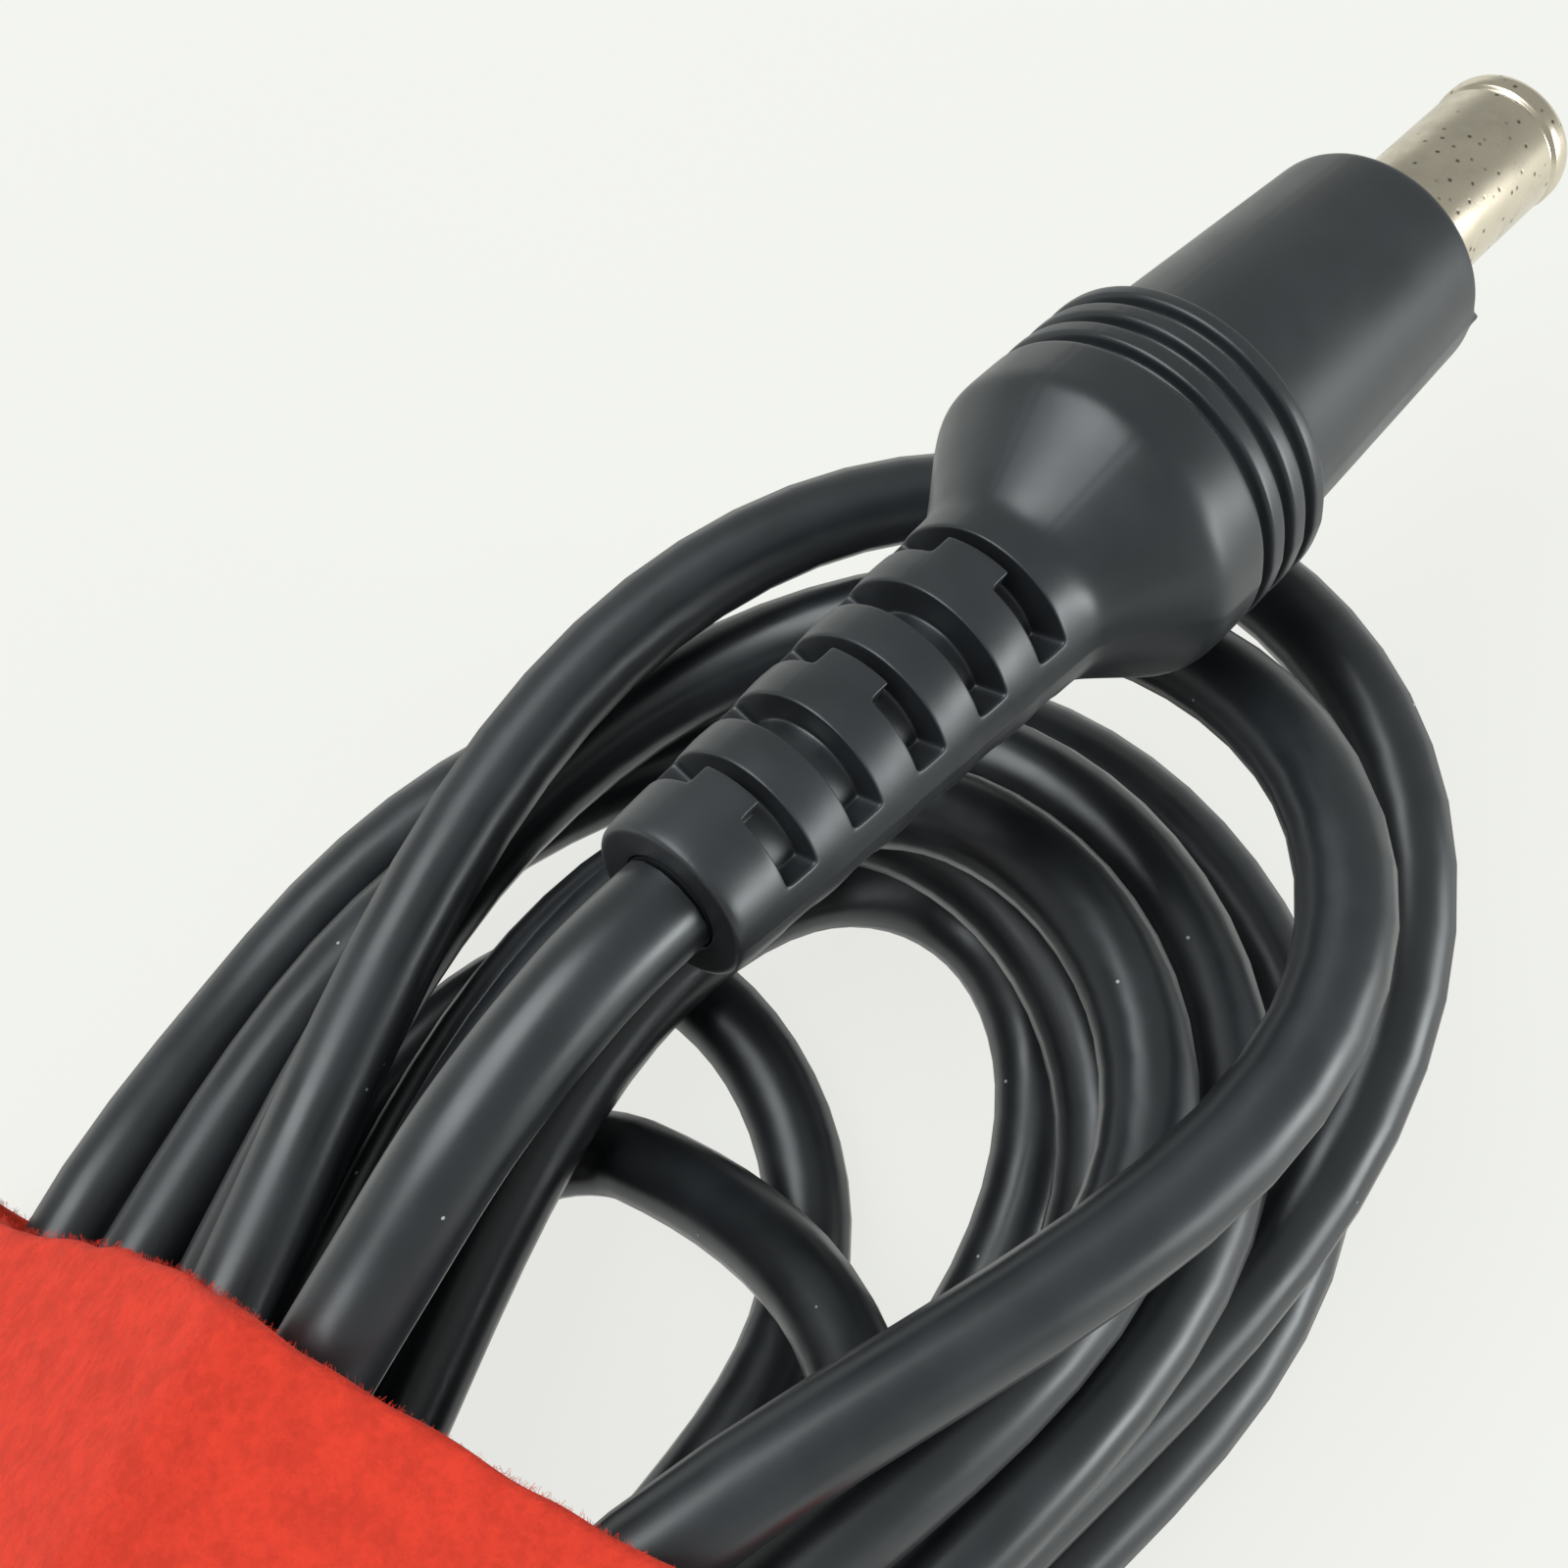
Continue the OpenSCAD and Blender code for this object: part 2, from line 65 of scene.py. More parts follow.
# A turn has reach, middle y, start y and swell, end y and swell, and heights.
FRONT_TURNS = [
    (47.4, -7.5, (-8, 24.5), (8.1, 8.3), (20.2, 20, 18.5, 12.5, 8.6, 7.6, 7.8)),
    (53.3, -9.5, (-16.3, 18.4), (6.1, 11.2), (9.6, 8.5, 11.5, 10.8, 12.1, 11.6, 11.7)),
    (37.5, -7.5, (-11.5, 15), (2.2, 6), (16.2, 16.4, 15.2, 13.3, 12.6, 11.4, 11.4)),
    (42.8, -6, (-15.5, 15), (12.1, 6.8), (13.4, 13, 10.5, 7.3, 4, 4.6, 6)),
    (47, -8, (-17.8, 18), (15.8, 7.4), (5.3, 4, 2, 1.7, 1.7, 1.7, 3.5)),
    (30.5, 2, (-7.2, 8.5), (8.4, 4.2), (3.5, 1.7, 1.7, 1.7, 1.7, 1.7, 3.5)),
    (23, -1.2, (-9.5, 12.8), (3.4, 4.8), (11.2, 11.1, 8.4, 2.4, 1.7, 1.7, 3.5)),
    (38, -6, (-12.4, 13.5), (3.9, 6.5), (7.5, 6.3, 7.6, 8, 8.9, 7.4, 7.7)),
    (38, -7, (-11.1, 10), (-0.1, 6), (3.5, 2.2, 2.7, 2.1, 5.4, 6.4, 7.4)),
]

# Behind the wrap the turns have reach, middle y, both swells and inner heights.
BACK_TURNS = [
    (40, -4, 12, 12, (22, 21.5, 21.3, 21, 20.3)),
    (50, -5, 14, 18, (9.6, 9.8, 9.8, 9.5, 9)),
    (42, -4, 16, 16, (15.5, 17.6, 17.6, 17, 16.4)),
    (47, -5, 12, 16, (12.8, 13.6, 13.6, 13.5, 13.3)),
    (50, -5, 12, 18, (1.7, 1.7, 1.7, 1.7, 3)),
    (44, -2, 13, 7, (6.2, 5.8, 4.5, 1.7, 1.7)),
    (38, -4, 8, 10, (1.7, 1.7, 4.5, 9.2, 11.2)),
    (32, -4, 6, 11, (1.7, 2, 5.2, 6, 6.6)),
    (26, -3, 5, 7, (7.5, 7.2, 6.6, 6.6, 2.8)),
]
FAR_X = -12.5
STEPS_PER_HALF = 48

# The lowest strands' centres are at BED_Z on the wrap's underside, and at CORD_R on the table,
# beyond BED_END from the waist.
CORD_R = 1.7
BED_Z, BED_END, BED_SLOPE = 3.45, 21, 8


def blunt(u):
    """Eases from 0 to 1, level at both ends."""
    return u * u * (3 - 2 * u)


def cardinal(a, b, c, d, f):
    """Value at share f of the stretch from b to c, on a curve through a, b, c and d."""
    return ((2 * f**3 - 3 * f**2 + 1) * b + (f**3 - 2 * f**2 + f) * (c - a) / 2
            + (3 * f**2 - 2 * f**3) * c + (f**3 - f**2) * (d - b) / 2)


def smooth_line(points, steps):
    """Points on a curve through a few points, without the last stretch."""
    line = []
    for i in range(len(points) - 2):
        a, b, c, d = points[max(i - 1, 0)], points[i], points[i + 1], points[i + 2]
        line += [cardinal(a, b, c, d, k / steps) for k in range(steps)]
    return line + [points[-2]]


def height(z, s):
    """Height on a curve through a list of heights, for s from 0 to 1."""
    n = len(z) - 1
    i = min(int(s * n), n - 1)
    return cardinal(z[max(i - 1, 0)], z[i], z[i + 1], z[min(i + 2, n)], s * n - i)


def bed(x):
    """Lowest height of the cord's centre, at a distance along the hank from the waist."""
    return CORD_R + (BED_Z - CORD_R) * min(max((BED_END - abs(x)) / BED_SLOPE, 0), 1)


def half_turn(side, reach, mid, start, end, z):
    """Points of one half turn; side is 1 in front of the wrap and -1 behind it."""
    points = []
    for i in range(STEPS_PER_HALF):
        s = i / STEPS_PER_HALF
        u, v = math.sin(math.pi * s), math.cos(math.pi * s)
        at, turn = (start, -side) if v > 0 else (end, side)
        y = mid + abs(v) * (at[0] - mid + turn * at[1] * blunt(u))
        x = side * reach * u
        points.append((x, y, max(height(z, s), bed(x))))
    return points


def hank_route():
    """Points of the nine turns, and of the far end's straight stretch behind the wrap."""
    points = [HANK_START]
    y, z = HANK_START[1:]
    for front, back in zip(FRONT_TURNS, BACK_TURNS):
        inner = (z, *back[4], front[4][0])
        points += half_turn(-1, back[0], back[1], (y, back[2]), (front[2][0], back[3]), inner)
        points += half_turn(1, *front)
        y, z = front[3][0], front[4][6]
    return points + [(0, y, z), (FAR_X / 2, y, z), (FAR_X, y, z)]


# ------------------------------------------------------------------ place of the plug

PLUG_AT = Vector((49.9, -8.45, 21.5)) * MM
PLUG_YAW, PLUG_DIP = -14, 10.9
PLUG_TURN = (Matrix.Rotation(math.radians(PLUG_YAW), 4, "Z")
             @ Matrix.Rotation(math.radians(90 + PLUG_DIP), 4, "Y"))
PLUG_PLACE = Matrix.Translation(PLUG_AT) @ PLUG_TURN
MOULD_TOP = math.radians(170)

# Stations along the plug's axis, in millimetres from the grip groove nearest the nose
MOUTH_T, NOSE_T, NOSE_BACK_T, COLLAR_T, COLLAR_BACK_T = 23.3, 13.3, 0.9, 9.3, 8.1
WASHER_BACK_T, INNER_BACK_T, NECK_T, RELIEF_T = 7.3, -4.6, -8.6, -25.4
GROOVES_T = (-2.5, -1.25, 0.0)

# Radii of the moulding, of its cavity and of the barrel
RELIEF_R, NECK_R, BAND_R, NOSE_BACK_R, NOSE_R = 2.95, 3.65, 6.1, 5.25, 4.65
HOLE_R, COLLAR_R, INNER_R = 1.72, 3.6, 3.92
BARREL_IN_R, BARREL_ROOT_R, BARREL_R, BEAD_R = 2.3, 2.55, 2.75, 2.83

# A grip groove's outline: distance along the plug from its middle, and depth
GROOVE = ((-0.42, 0), (-0.25, 0.02), (-0.19, 0.46), (0, 0.5), (0.19, 0.46), (0.25, 0.02),
          (0.42, 0))

# Flex slots, counted from the neck, cut only what lies outside CUT_R. At the crown a tongue
# fills all but TONGUE_GAP of every other one.
SLOT_N, SLOT_W, SLOT_PITCH, FIRST_SLOT, SLOT_FLOOR_R, CUT_R = 5, 1.3, 2.93, 1.6, 2.15, 2.5
TONGUE_GAP = 0.45

# Softening of the slots' edges, rims and floors and of the relief's end, and the rings' swell
SOFT, SLOT_RIM, FLOOR_SOFT, END_SOFT, RING_SWELL = 0.15, 0.13, 0.12, 0.16, 0.05

# Degrees from the mould's top to a slot's end, a tongue's side and the parting line
SLOT_END, TONGUE, PARTING = 72, 20, 90

# The parting line's height, and the least radius that has one
PARTING_H, OUTSIDE_R = 0.03, 2.9

# Radius and station of the nose's rim, and how far a spur of flash stands off it
RIM = (NOSE_R - 0.1, NOSE_T - 0.03)
FLASH = (0.3, 0, 0.42)


def slot_start(k):
    """Station of a slot's rear edge, counted from the neck."""
    return NECK_T - FIRST_SLOT - SLOT_W - k * SLOT_PITCH


def on_axis(t):
    """Point on the plug's axis at a station."""
    return PLUG_PLACE @ Vector((0, 0, t * MM))


def lead_route():
    """Points of the whole cord in metres, from the strain relief to the far end."""
    tail = [tuple(on_axis(RELIEF_T) / MM), *TAIL_POINTS, HANK_START, TAIL_AIM]
    fine_tail = smooth_line([Vector(p) for p in tail], TAIL_STEPS)
    return [p * MM for p in fine_tail] + [Vector(p) * MM for p in hank_route()[1:]]


# ------------------------------------------------------------------ mesh helpers

# Steps round a softened corner, and the share of a neighbouring side that it may take
CORNER_STEPS, CORNER_SHARE = 4, 0.45


def make_object(name, bm, material):
    """A smooth-shaded object from a bmesh, which is freed."""
    mesh = bpy.data.meshes.new(name)
    bm.to_mesh(mesh)
    bm.free()
    for polygon in mesh.polygons:
        polygon.use_smooth = True
    mesh.materials.append(material)
    piece = bpy.data.objects.new(name, mesh)
    bpy.context.scene.collection.objects.link(piece)
    return piece


def finish_mesh(bm):
    bmesh.ops.remove_doubles(bm, verts=bm.verts, dist=1e-7)
    bmesh.ops.recalc_face_normals(bm, faces=bm.faces)


def close_loop(bm, verts):
    """Edges that join points into a closed loop."""
    return [bm.edges.new(pair) for pair in zip(verts, verts[1:] + verts[:1])]


def grown_verts(geom):
    """Points in an extrusion's result."""
    return [g for g in geom if isinstance(g, bmesh.types.BMVert)]


def far_edges(geom):
    """Edges in an extrusion's result that have both ends in it."""
    return [g for g in geom if isinstance(g, bmesh.types.BMEdge)
            and all(v in geom for v in g.verts)]


def spun(profile, steps, place):
    """A ring turned from a closed loop of (radius, station) pairs in millimetres."""
    bm = bmesh.new()
    verts = [bm.verts.new((r * MM, 0, t * MM)) for r, t in profile]
    bmesh.ops.spin(bm, geom=verts + close_loop(bm, verts), cent=(0, 0, 0), axis=(0, 0, 1),
                   angle=2 * math.pi, steps=steps, use_merge=True)
    finish_mesh(bm)
    bmesh.ops.transform(bm, matrix=place, verts=bm.verts)
    return bm


def rounded(corner, before, after, radius):
    """Replaces a profile's corner by a curve that starts and ends radius away from it."""
    corner, before, after = Vector(corner), Vector(before), Vector(after)
    a = corner + (before - corner).normalized() * radius
    c = corner + (after - corner).normalized() * radius
    return [tuple((1 - f) ** 2 * a + 2 * f * (1 - f) * corner + f * f * c)
            for f in (k / CORNER_STEPS for k in range(CORNER_STEPS + 1))]


def softened(points, radius):
    """A profile whose inner points are all rounded."""
    out = [points[0]]
    for before, corner, after in zip(points, points[1:], points[2:]):
        reach = min(radius, (Vector(before) - Vector(corner)).length * CORNER_SHARE,
                    (Vector(after) - Vector(corner)).length * CORNER_SHARE)
        out += rounded(corner, before, after, reach)
    return out + [points[-1]]


def apply_modifiers(piece):
    """Swaps a piece's mesh for the one that its modifiers make."""
    graph = bpy.context.evaluated_depsgraph_get()
    mesh = bpy.data.meshes.new_from_object(piece.evaluated_get(graph))
    piece.modifiers.clear()
    old = piece.data
    piece.data = mesh
    bpy.data.meshes.remove(old)


# ------------------------------------------------------------------ material helpers


def tint(colour, factor):
    """A colour made lighter or darker, with full alpha."""
    return (*[min(1, c * factor) for c in colour[:3]], 1)


class Tree:
    """Short names for building a node tree."""

    def __init__(self, tree):
        self.tree = tree

    def node(self, kind, **values):
        n = self.tree.nodes.new(kind)
        for key, value in values.items():
            setattr(n, key, value)
        return n

    def link(self, a, b):
        self.tree.links.new(a, b)

    def put(self, socket, value):
        if isinstance(value, bpy.types.NodeSocket):
            self.link(value, socket)
        else:
            socket.default_value = value

    def math(self, operation, a, b):
        n = self.node("ShaderNodeMath", operation=operation)
        for socket, value in zip(n.inputs, (a, b)):
            self.put(socket, value)
        return n.outputs[0]

    def noise(self, vector, scale, detail, rough=0.5):
        n = self.node("ShaderNodeTexNoise")
        self.link(vector, n.inputs["Vector"])
        self.put(n.inputs["Scale"], scale)
        n.inputs["Detail"].default_value = detail
        n.inputs["Roughness"].default_value = rough
        return n.outputs["Fac"]

    def spots(self, vector, scale):
        n = self.node("ShaderNodeTexVoronoi")
        self.link(vector, n.inputs["Vector"])
        self.put(n.inputs["Scale"], scale)
        return n.outputs

    def ramp(self, value, low, high, out_low=0.0, out_high=1.0):
        n = self.node("ShaderNodeMapRange", interpolation_type="SMOOTHSTEP")
        for key, v in (("Value", value), ("From Min", low), ("From Max", high),
                       ("To Min", out_low), ("To Max", out_high)):
            self.put(n.inputs[key], v)
        return n.outputs["Result"]

    def mix(self, factor, a, b):
        """Mixed colour; a Mix node's colour sockets share their names with its other sockets."""
        n = self.node("ShaderNodeMix", data_type="RGBA")
        for i, value in ((0, factor), (6, a), (7, b)):
            self.put(n.inputs[i], value)
        return n.outputs[2]

    def bump(self, height, strength, distance):
        n = self.node("ShaderNodeBump")
        n.inputs["Strength"].default_value = strength
        n.inputs["Distance"].default_value = distance
        self.put(n.inputs["Height"], height)
        return n.outputs["Normal"]

    def place(self):
        return self.node("ShaderNodeTexCoord").outputs["Object"]

    def some_cells(self, cells, channel, floor):
        """1 in the spots whose own random colour lies above floor in a channel."""
        parts = self.node("ShaderNodeSeparateColor")
        self.link(cells["Color"], parts.inputs["Color"])
        return self.math("GREATER_THAN", parts.outputs[channel], floor)


def new_group(name, inputs, outputs):
    """Tree and sockets of an empty shader node group, from {input: default} and outputs."""
    group = bpy.data.node_groups.new(name, "ShaderNodeTree")
    group.interface.new_socket("Vector", in_out="INPUT", socket_type="NodeSocketVector")
    for key, value in inputs.items():
        socket = group.interface.new_socket(key, in_out="INPUT", socket_type="NodeSocketFloat")
        socket.default_value = value
    for key in outputs:
        group.interface.new_socket(key, in_out="OUTPUT", socket_type="NodeSocketFloat")
    t = Tree(group)
    start, end = t.node("NodeGroupInput"), t.node("NodeGroupOutput")
    return t, start.outputs, end.inputs


def new_material(name):
    """Tree and shader sockets of a new material."""
    material = bpy.data.materials.new(name)
    material.use_nodes = True
    return Tree(material.node_tree), material.node_tree.nodes["Principled BSDF"].inputs


def set_sockets(sockets, **values):
    """Sets constants on sockets, named with underscores for spaces."""
    for key, value in values.items():
        sockets[key.replace("_", " ")].default_value = value


def use_group(t, name, vector, **values):
    """Outputs of a node group that is placed in a material with its own values."""
    n = t.node("ShaderNodeGroup")
    n.node_tree = bpy.data.node_groups[name]
    t.link(vector, n.inputs["Vector"])
    set_sockets(n.inputs, **values)
    return n.outputs


DUST_COLOUR = (0.42, 0.43, 0.44, 1)
PIT_COLOUR = (0.12, 0.1, 0.07, 1)


def build_mould_grain():
    """Fine grain and slow waviness of soft moulded PVC."""
    t, i, o = new_group("mould_grain", {"Grain Size": 5000.0, "Wave Size": 260.0},
                        ("Height", "Tone"))
    fine = t.noise(i["Vector"], i["Grain Size"], 2.0)
    wave = t.noise(i["Vector"], i["Wave Size"], 3.0)
    t.link(t.math("ADD", t.math("MULTIPLY", fine, 0.25), t.math("MULTIPLY", wave, 0.75)),
           o["Height"])
    t.link(wave, o["Tone"])


def build_dust():
    """Sparse pale specks of dust."""
    t, i, o = new_group("dust", {"Spread": 900.0, "Size": 0.06}, ("Mask",))
    cells = t.spots(i["Vector"], i["Spread"])
    near = t.math("LESS_THAN", cells["Distance"], i["Size"])
    t.link(t.math("MULTIPLY", near, t.some_cells(cells, "Red", 0.93)), o["Mask"])


def build_pits():
    """Dark pits and soft clouds of worn plating."""
    t, i, o = new_group("pits", {"Spread": 2100.0, "Size": 0.28}, ("Mask", "Cloud"))
    cells = t.spots(i["Vector"], i["Spread"])
    near = t.ramp(cells["Distance"], i["Size"], 0.05)
    t.link(t.math("MULTIPLY", near, t.some_cells(cells, "Green", 0.42)), o["Mask"])
    t.link(t.noise(i["Vector"], 420.0, 4.0, 0.6), o["Cloud"])


def build_pile():
    """Brushed loop pile: tufts, their shade and their relief."""
    t, i, o = new_group("pile", {"Tuft Size": 1500.0, "Patch Size": 900.0},
                        ("Height", "Shade"))
    tufts = t.spots(i["Vector"], i["Tuft Size"])["Distance"]
    fuzz = t.noise(i["Vector"], t.math("MULTIPLY", i["Tuft Size"], 2.2), 4.0, 0.65)
    patch = t.noise(i["Vector"], i["Patch Size"], 4.0, 0.55)
    t.link(t.math("SUBTRACT", fuzz, t.math("MULTIPLY", tufts, 0.45)), o["Height"])
    t.link(t.math("ADD", t.math("MULTIPLY", fuzz, 0.45), t.math("MULTIPLY", patch, 0.55)),
           o["Shade"])


def black_pvc(name, colour, roughness, grain):
    """Satin black PVC with slow changes of tone and a few specks of dust."""
    t, put = new_material(name)
    at = t.place()
    surface = use_group(t, "mould_grain", at, Grain_Size=grain)
    dust = use_group(t, "dust", at)["Mask"]
    body = t.mix(t.ramp(surface["Tone"], 0.3, 0.7), tint(colour, 0.86), tint(colour, 1.16))
    t.link(t.mix(dust, body, DUST_COLOUR), put["Base Color"])
    t.link(t.ramp(surface["Tone"], 0.25, 0.75, roughness - 0.05, roughness + 0.07),
           put["Roughness"])
    t.link(t.bump(surface["Height"], strength=0.12, distance=0.04 * MM), put["Normal"])
    set_sockets(put, Specular_IOR_Level=0.7, Specular_Tint=(0.92, 0.98, 1.0, 1))


def plated_metal(name, colour):
    """Bright plating with dull clouds and dark pits."""
    t, put = new_material(name)
    wear = use_group(t, "pits", t.place())
    base = t.mix(t.ramp(wear["Cloud"], 0.35, 0.7), tint(colour, 1), tint(colour, 0.78))
    t.link(t.mix(wear["Mask"], base, PIT_COLOUR), put["Base Color"])
    t.link(t.ramp(wear["Cloud"], 0.3, 0.75, 0.24, 0.38), put["Roughness"])
    level = t.math("SUBTRACT", 1.0, wear["Mask"])
    t.link(t.bump(level, strength=0.3, distance=0.03 * MM), put["Normal"])
    set_sockets(put, Metallic=1.0)


def loop_fabric(name, colour):
    """Matt loop pile, a little uneven in tone."""
    t, put = new_material(name)
    pile = use_group(t, "pile", t.place())
    shade = t.ramp(pile["Shade"], 0.36, 0.64)
    t.link(t.mix(shade, tint(colour, 0.88), tint(colour, 1.12)), put["Base Color"])
    t.link(t.bump(pile["Height"], strength=0.6, distance=0.2 * MM), put["Normal"])
    set_sockets(put, Roughness=0.92, Specular_IOR_Level=0.2, Sheen_Weight=0.07,
                Sheen_Roughness=0.5, Sheen_Tint=(1.0, 0.42, 0.36, 1))


def plain_plastic(name, colour, roughness):
    """Plastic of one colour with a fine grain."""
    t, put = new_material(name)
    surface = use_group(t, "mould_grain", t.place(), Grain_Size=7000.0)
    tone = t.ramp(surface["Tone"], 0.3, 0.7)
    t.link(t.mix(tone, tint(colour, 0.88), tint(colour, 1.1)), put["Base Color"])
    t.link(t.ramp(surface["Tone"], 0.2, 0.8, roughness - 0.05, roughness + 0.05),
           put["Roughness"])
    t.link(t.bump(surface["Height"], strength=0.1, distance=0.03 * MM), put["Normal"])


def rough_metal(name, colour, low, high):
    """Unpolished metal whose roughness runs from low to high."""
    t, put = new_material(name)
    cloud = use_group(t, "pits", t.place())["Cloud"]
    tone = t.ramp(cloud, 0.3, 0.7)
    t.link(t.mix(tone, tint(colour, 1), tint(colour, 0.8)), put["Base Color"])
    t.link(t.ramp(cloud, 0.3, 0.7, low, high), put["Roughness"])
    t.link(t.bump(cloud, strength=0.25, distance=0.04 * MM), put["Normal"])
    set_sockets(put, Metallic=1.0)


def build_materials(colours):
    build_mould_grain()
    build_dust()
    build_pits()
    build_pile()
    black_pvc("cord_jacket", colours.pvc, 0.34, 4200.0)
    black_pvc("plug_moulding", colours.pvc, 0.38, 5200.0)
    plated_metal("nickel_plate", colours.nickel)
    loop_fabric("red_loop_pile", colours.wrap)
    plain_plastic("hook_plastic", colours.hooks, 0.5)
    plain_plastic("dark_insulation", (0.02, 0.02, 0.022), 0.35)
    plain_plastic("board_washer", (0.6, 0.56, 0.46), 0.7)
    plain_plastic("red_insulation", (0.45, 0.02, 0.018), 0.4)
    plain_plastic("black_insulation", (0.018, 0.018, 0.02), 0.4)
    rough_metal("tinned_wire", (0.62, 0.62, 0.6), 0.28, 0.45)
    rough_metal("copper_wire", (0.8, 0.36, 0.2), 0.25, 0.4)


# ------------------------------------------------------------------ settings


class LeadSizes(bpy.types.PropertyGroup):
    cord_diameter: FloatProperty(
        name="Cord Diameter", description="Outside diameter of the cord's jacket",
        default=2 * CORD_R * MM, unit="LENGTH")
    wrap_width: FloatProperty(
        name="Wrap Width", description="Width of the wrap along the hank",
        default=20 * MM, unit="LENGTH")
    pile_length: FloatProperty(
        name="Pile Length", description="Length of the loose fibres on the wrap",
        default=0.2 * MM, unit="LENGTH")
    pile_count: IntProperty(
        name="Pile Count", description="Number of loose fibres on the wrap",
        default=14000, min=0)


class LeadColours(bpy.types.PropertyGroup):
    pvc: FloatVectorProperty(
        name="PVC", description="Colour of the cord and the moulding",
        default=(0.015, 0.0175, 0.0205), subtype="COLOR")
    nickel: FloatVectorProperty(
        name="Nickel", description="Colour of the plated barrel",
        default=(0.7, 0.64, 0.51), subtype="COLOR")
    wrap: FloatVectorProperty(
        name="Wrap", description="Colour of the loop fabric",
        default=(0.65, 0.045, 0.023), subtype="COLOR")
    hooks: FloatVectorProperty(
        name="Hooks", description="Colour of the hook patch",
        default=(0.5, 0.03, 0.02), subtype="COLOR")
    floor: FloatVectorProperty(
        name="Floor", description="Colour of the pale table",
        default=(0.88, 0.89, 0.85), subtype="COLOR")


# ------------------------------------------------------------------ stage

# Place of the camera, its right and its view, and its lens in millimetres
CAMERA_AT = (0.0056, -0.017, 0.0925)
CAMERA_RIGHT = (0.468, -0.884, 0.0)
CAMERA_VIEW = (0.349, 0.185, -0.919)
LENS, SENSOR = 54, 36
CLIP_NEAR, CLIP_FAR = 0.001, 10

# Reach of the table each way, and its drop below the lead
TABLE_REACH, TABLE_DROP = 4, 0.05 * MM

# Share of the table's colour that it shows by itself, so shadows on it stay soft
TABLE_GLOW = 0.88

# The world's colour, its strength where it is seen, and its strength as light
WORLD_COLOUR = (0.985, 1.0, 0.965, 1)
WORLD_SEEN, WORLD_LIGHT = 0.91, 0.42

# Each lamp's name, place, size and power; both point at LAMP_AIM
LAMPS = (("key", (-0.06, 0.26, 0.5), (0.5, 0.34), 2.6),
         ("side", (0.17, -0.58, 0.14), (0.42, 0.18), 2.3))
LAMP_AIM = (0.03, -0.005, 0.01)


class LEAD_OT_stage(bpy.types.Operator):
    """Add the camera, the table, the world and the lamps"""

    bl_idname = "lead.stage"
    bl_label = "Add Stage"

    def execute(self, context):
        self.add_camera(context.scene)
        self.add_table(context.scene)
        self.add_world(context.scene)
        self.add_lamps(context.scene)
        context.scene.view_settings.view_transform = "Standard"
        return {"FINISHED"}

    def add_camera(self, scene):
        camera = bpy.data.cameras.new("camera")
        camera.lens = LENS
        camera.sensor_width = SENSOR
        camera.clip_start = CLIP_NEAR
        camera.clip_end = CLIP_FAR
        eye = bpy.data.objects.new("camera", camera)
        right = Vector(CAMERA_RIGHT).normalized()
        forward = Vector(CAMERA_VIEW).normalized()
        right = (right - forward * right.dot(forward)).normalized()
        up = right.cross(forward)
        turn = Matrix((right, up, -forward)).transposed().to_4x4()
        eye.matrix_world = Matrix.Translation(CAMERA_AT) @ turn
        scene.collection.objects.link(eye)
        scene.camera = eye

    def add_table(self, scene):
        """A pale table that partly glows for rays that show it, and is plain for others."""
        bm = bmesh.new()
        bmesh.ops.create_grid(bm, x_segments=1, y_segments=1, size=TABLE_REACH)
        bmesh.ops.translate(bm, vec=(0, 0, -TABLE_DROP), verts=bm.verts)
        t, put = new_material("table")
        colour = scene.lead_colours.floor
        paths = t.node("ShaderNodeLightPath").outputs
        seen = t.math("MAXIMUM", paths["Is Camera Ray"],
                      t.math("MAXIMUM", paths["Is Glossy Ray"], paths["Is Transmission Ray"]))
        cloud = t.mix(t.noise(t.place(), 14.0, 2.0), tint(colour, 0.985), tint(colour, 1))
        t.link(t.mix(seen, cloud, tint(colour, 1 - TABLE_GLOW)), put["Base Color"])
        t.link(t.math("MULTIPLY", seen, TABLE_GLOW), put["Emission Strength"])
        set_sockets(put, Emission_Color=tint(colour, 1), Roughness=0.8, Specular_IOR_Level=0.1)
        make_object("table", bm, bpy.data.materials["table"])

    def add_world(self, scene):
        """A plain pale world, brighter where it is seen than it is as light."""
        world = bpy.data.worlds.new("world")
        scene.world = world
        world.use_nodes = True
        t = Tree(world.node_tree)
        back = world.node_tree.nodes["Background"].inputs
        paths = t.node("ShaderNodeLightPath").outputs
        seen = t.math("MAXIMUM", paths["Is Camera Ray"], paths["Is Transmission Ray"])
        light = t.math("ADD", paths["Is Glossy Ray"], paths["Is Diffuse Ray"])
        t.link(t.math("ADD", t.math("MULTIPLY", seen, WORLD_SEEN),
                      t.math("MULTIPLY", light, WORLD_LIGHT)), back["Strength"])
        set_sockets(back, Color=WORLD_COLOUR)

    def add_lamps(self, scene):
        for name, place, size, power in LAMPS:
            lamp = bpy.data.lights.new(name, "AREA")
            lamp.shape = "RECTANGLE"
            lamp.size, lamp.size_y = size
            lamp.energy = power
            thing = bpy.data.objects.new(name, lamp)
            thing.location = place
            aim = Vector(LAMP_AIM) - Vector(place)
            thing.rotation_euler = aim.to_track_quat("-Z", "Y").to_euler()
            scene.collection.objects.link(thing)


# ------------------------------------------------------------------ the lead


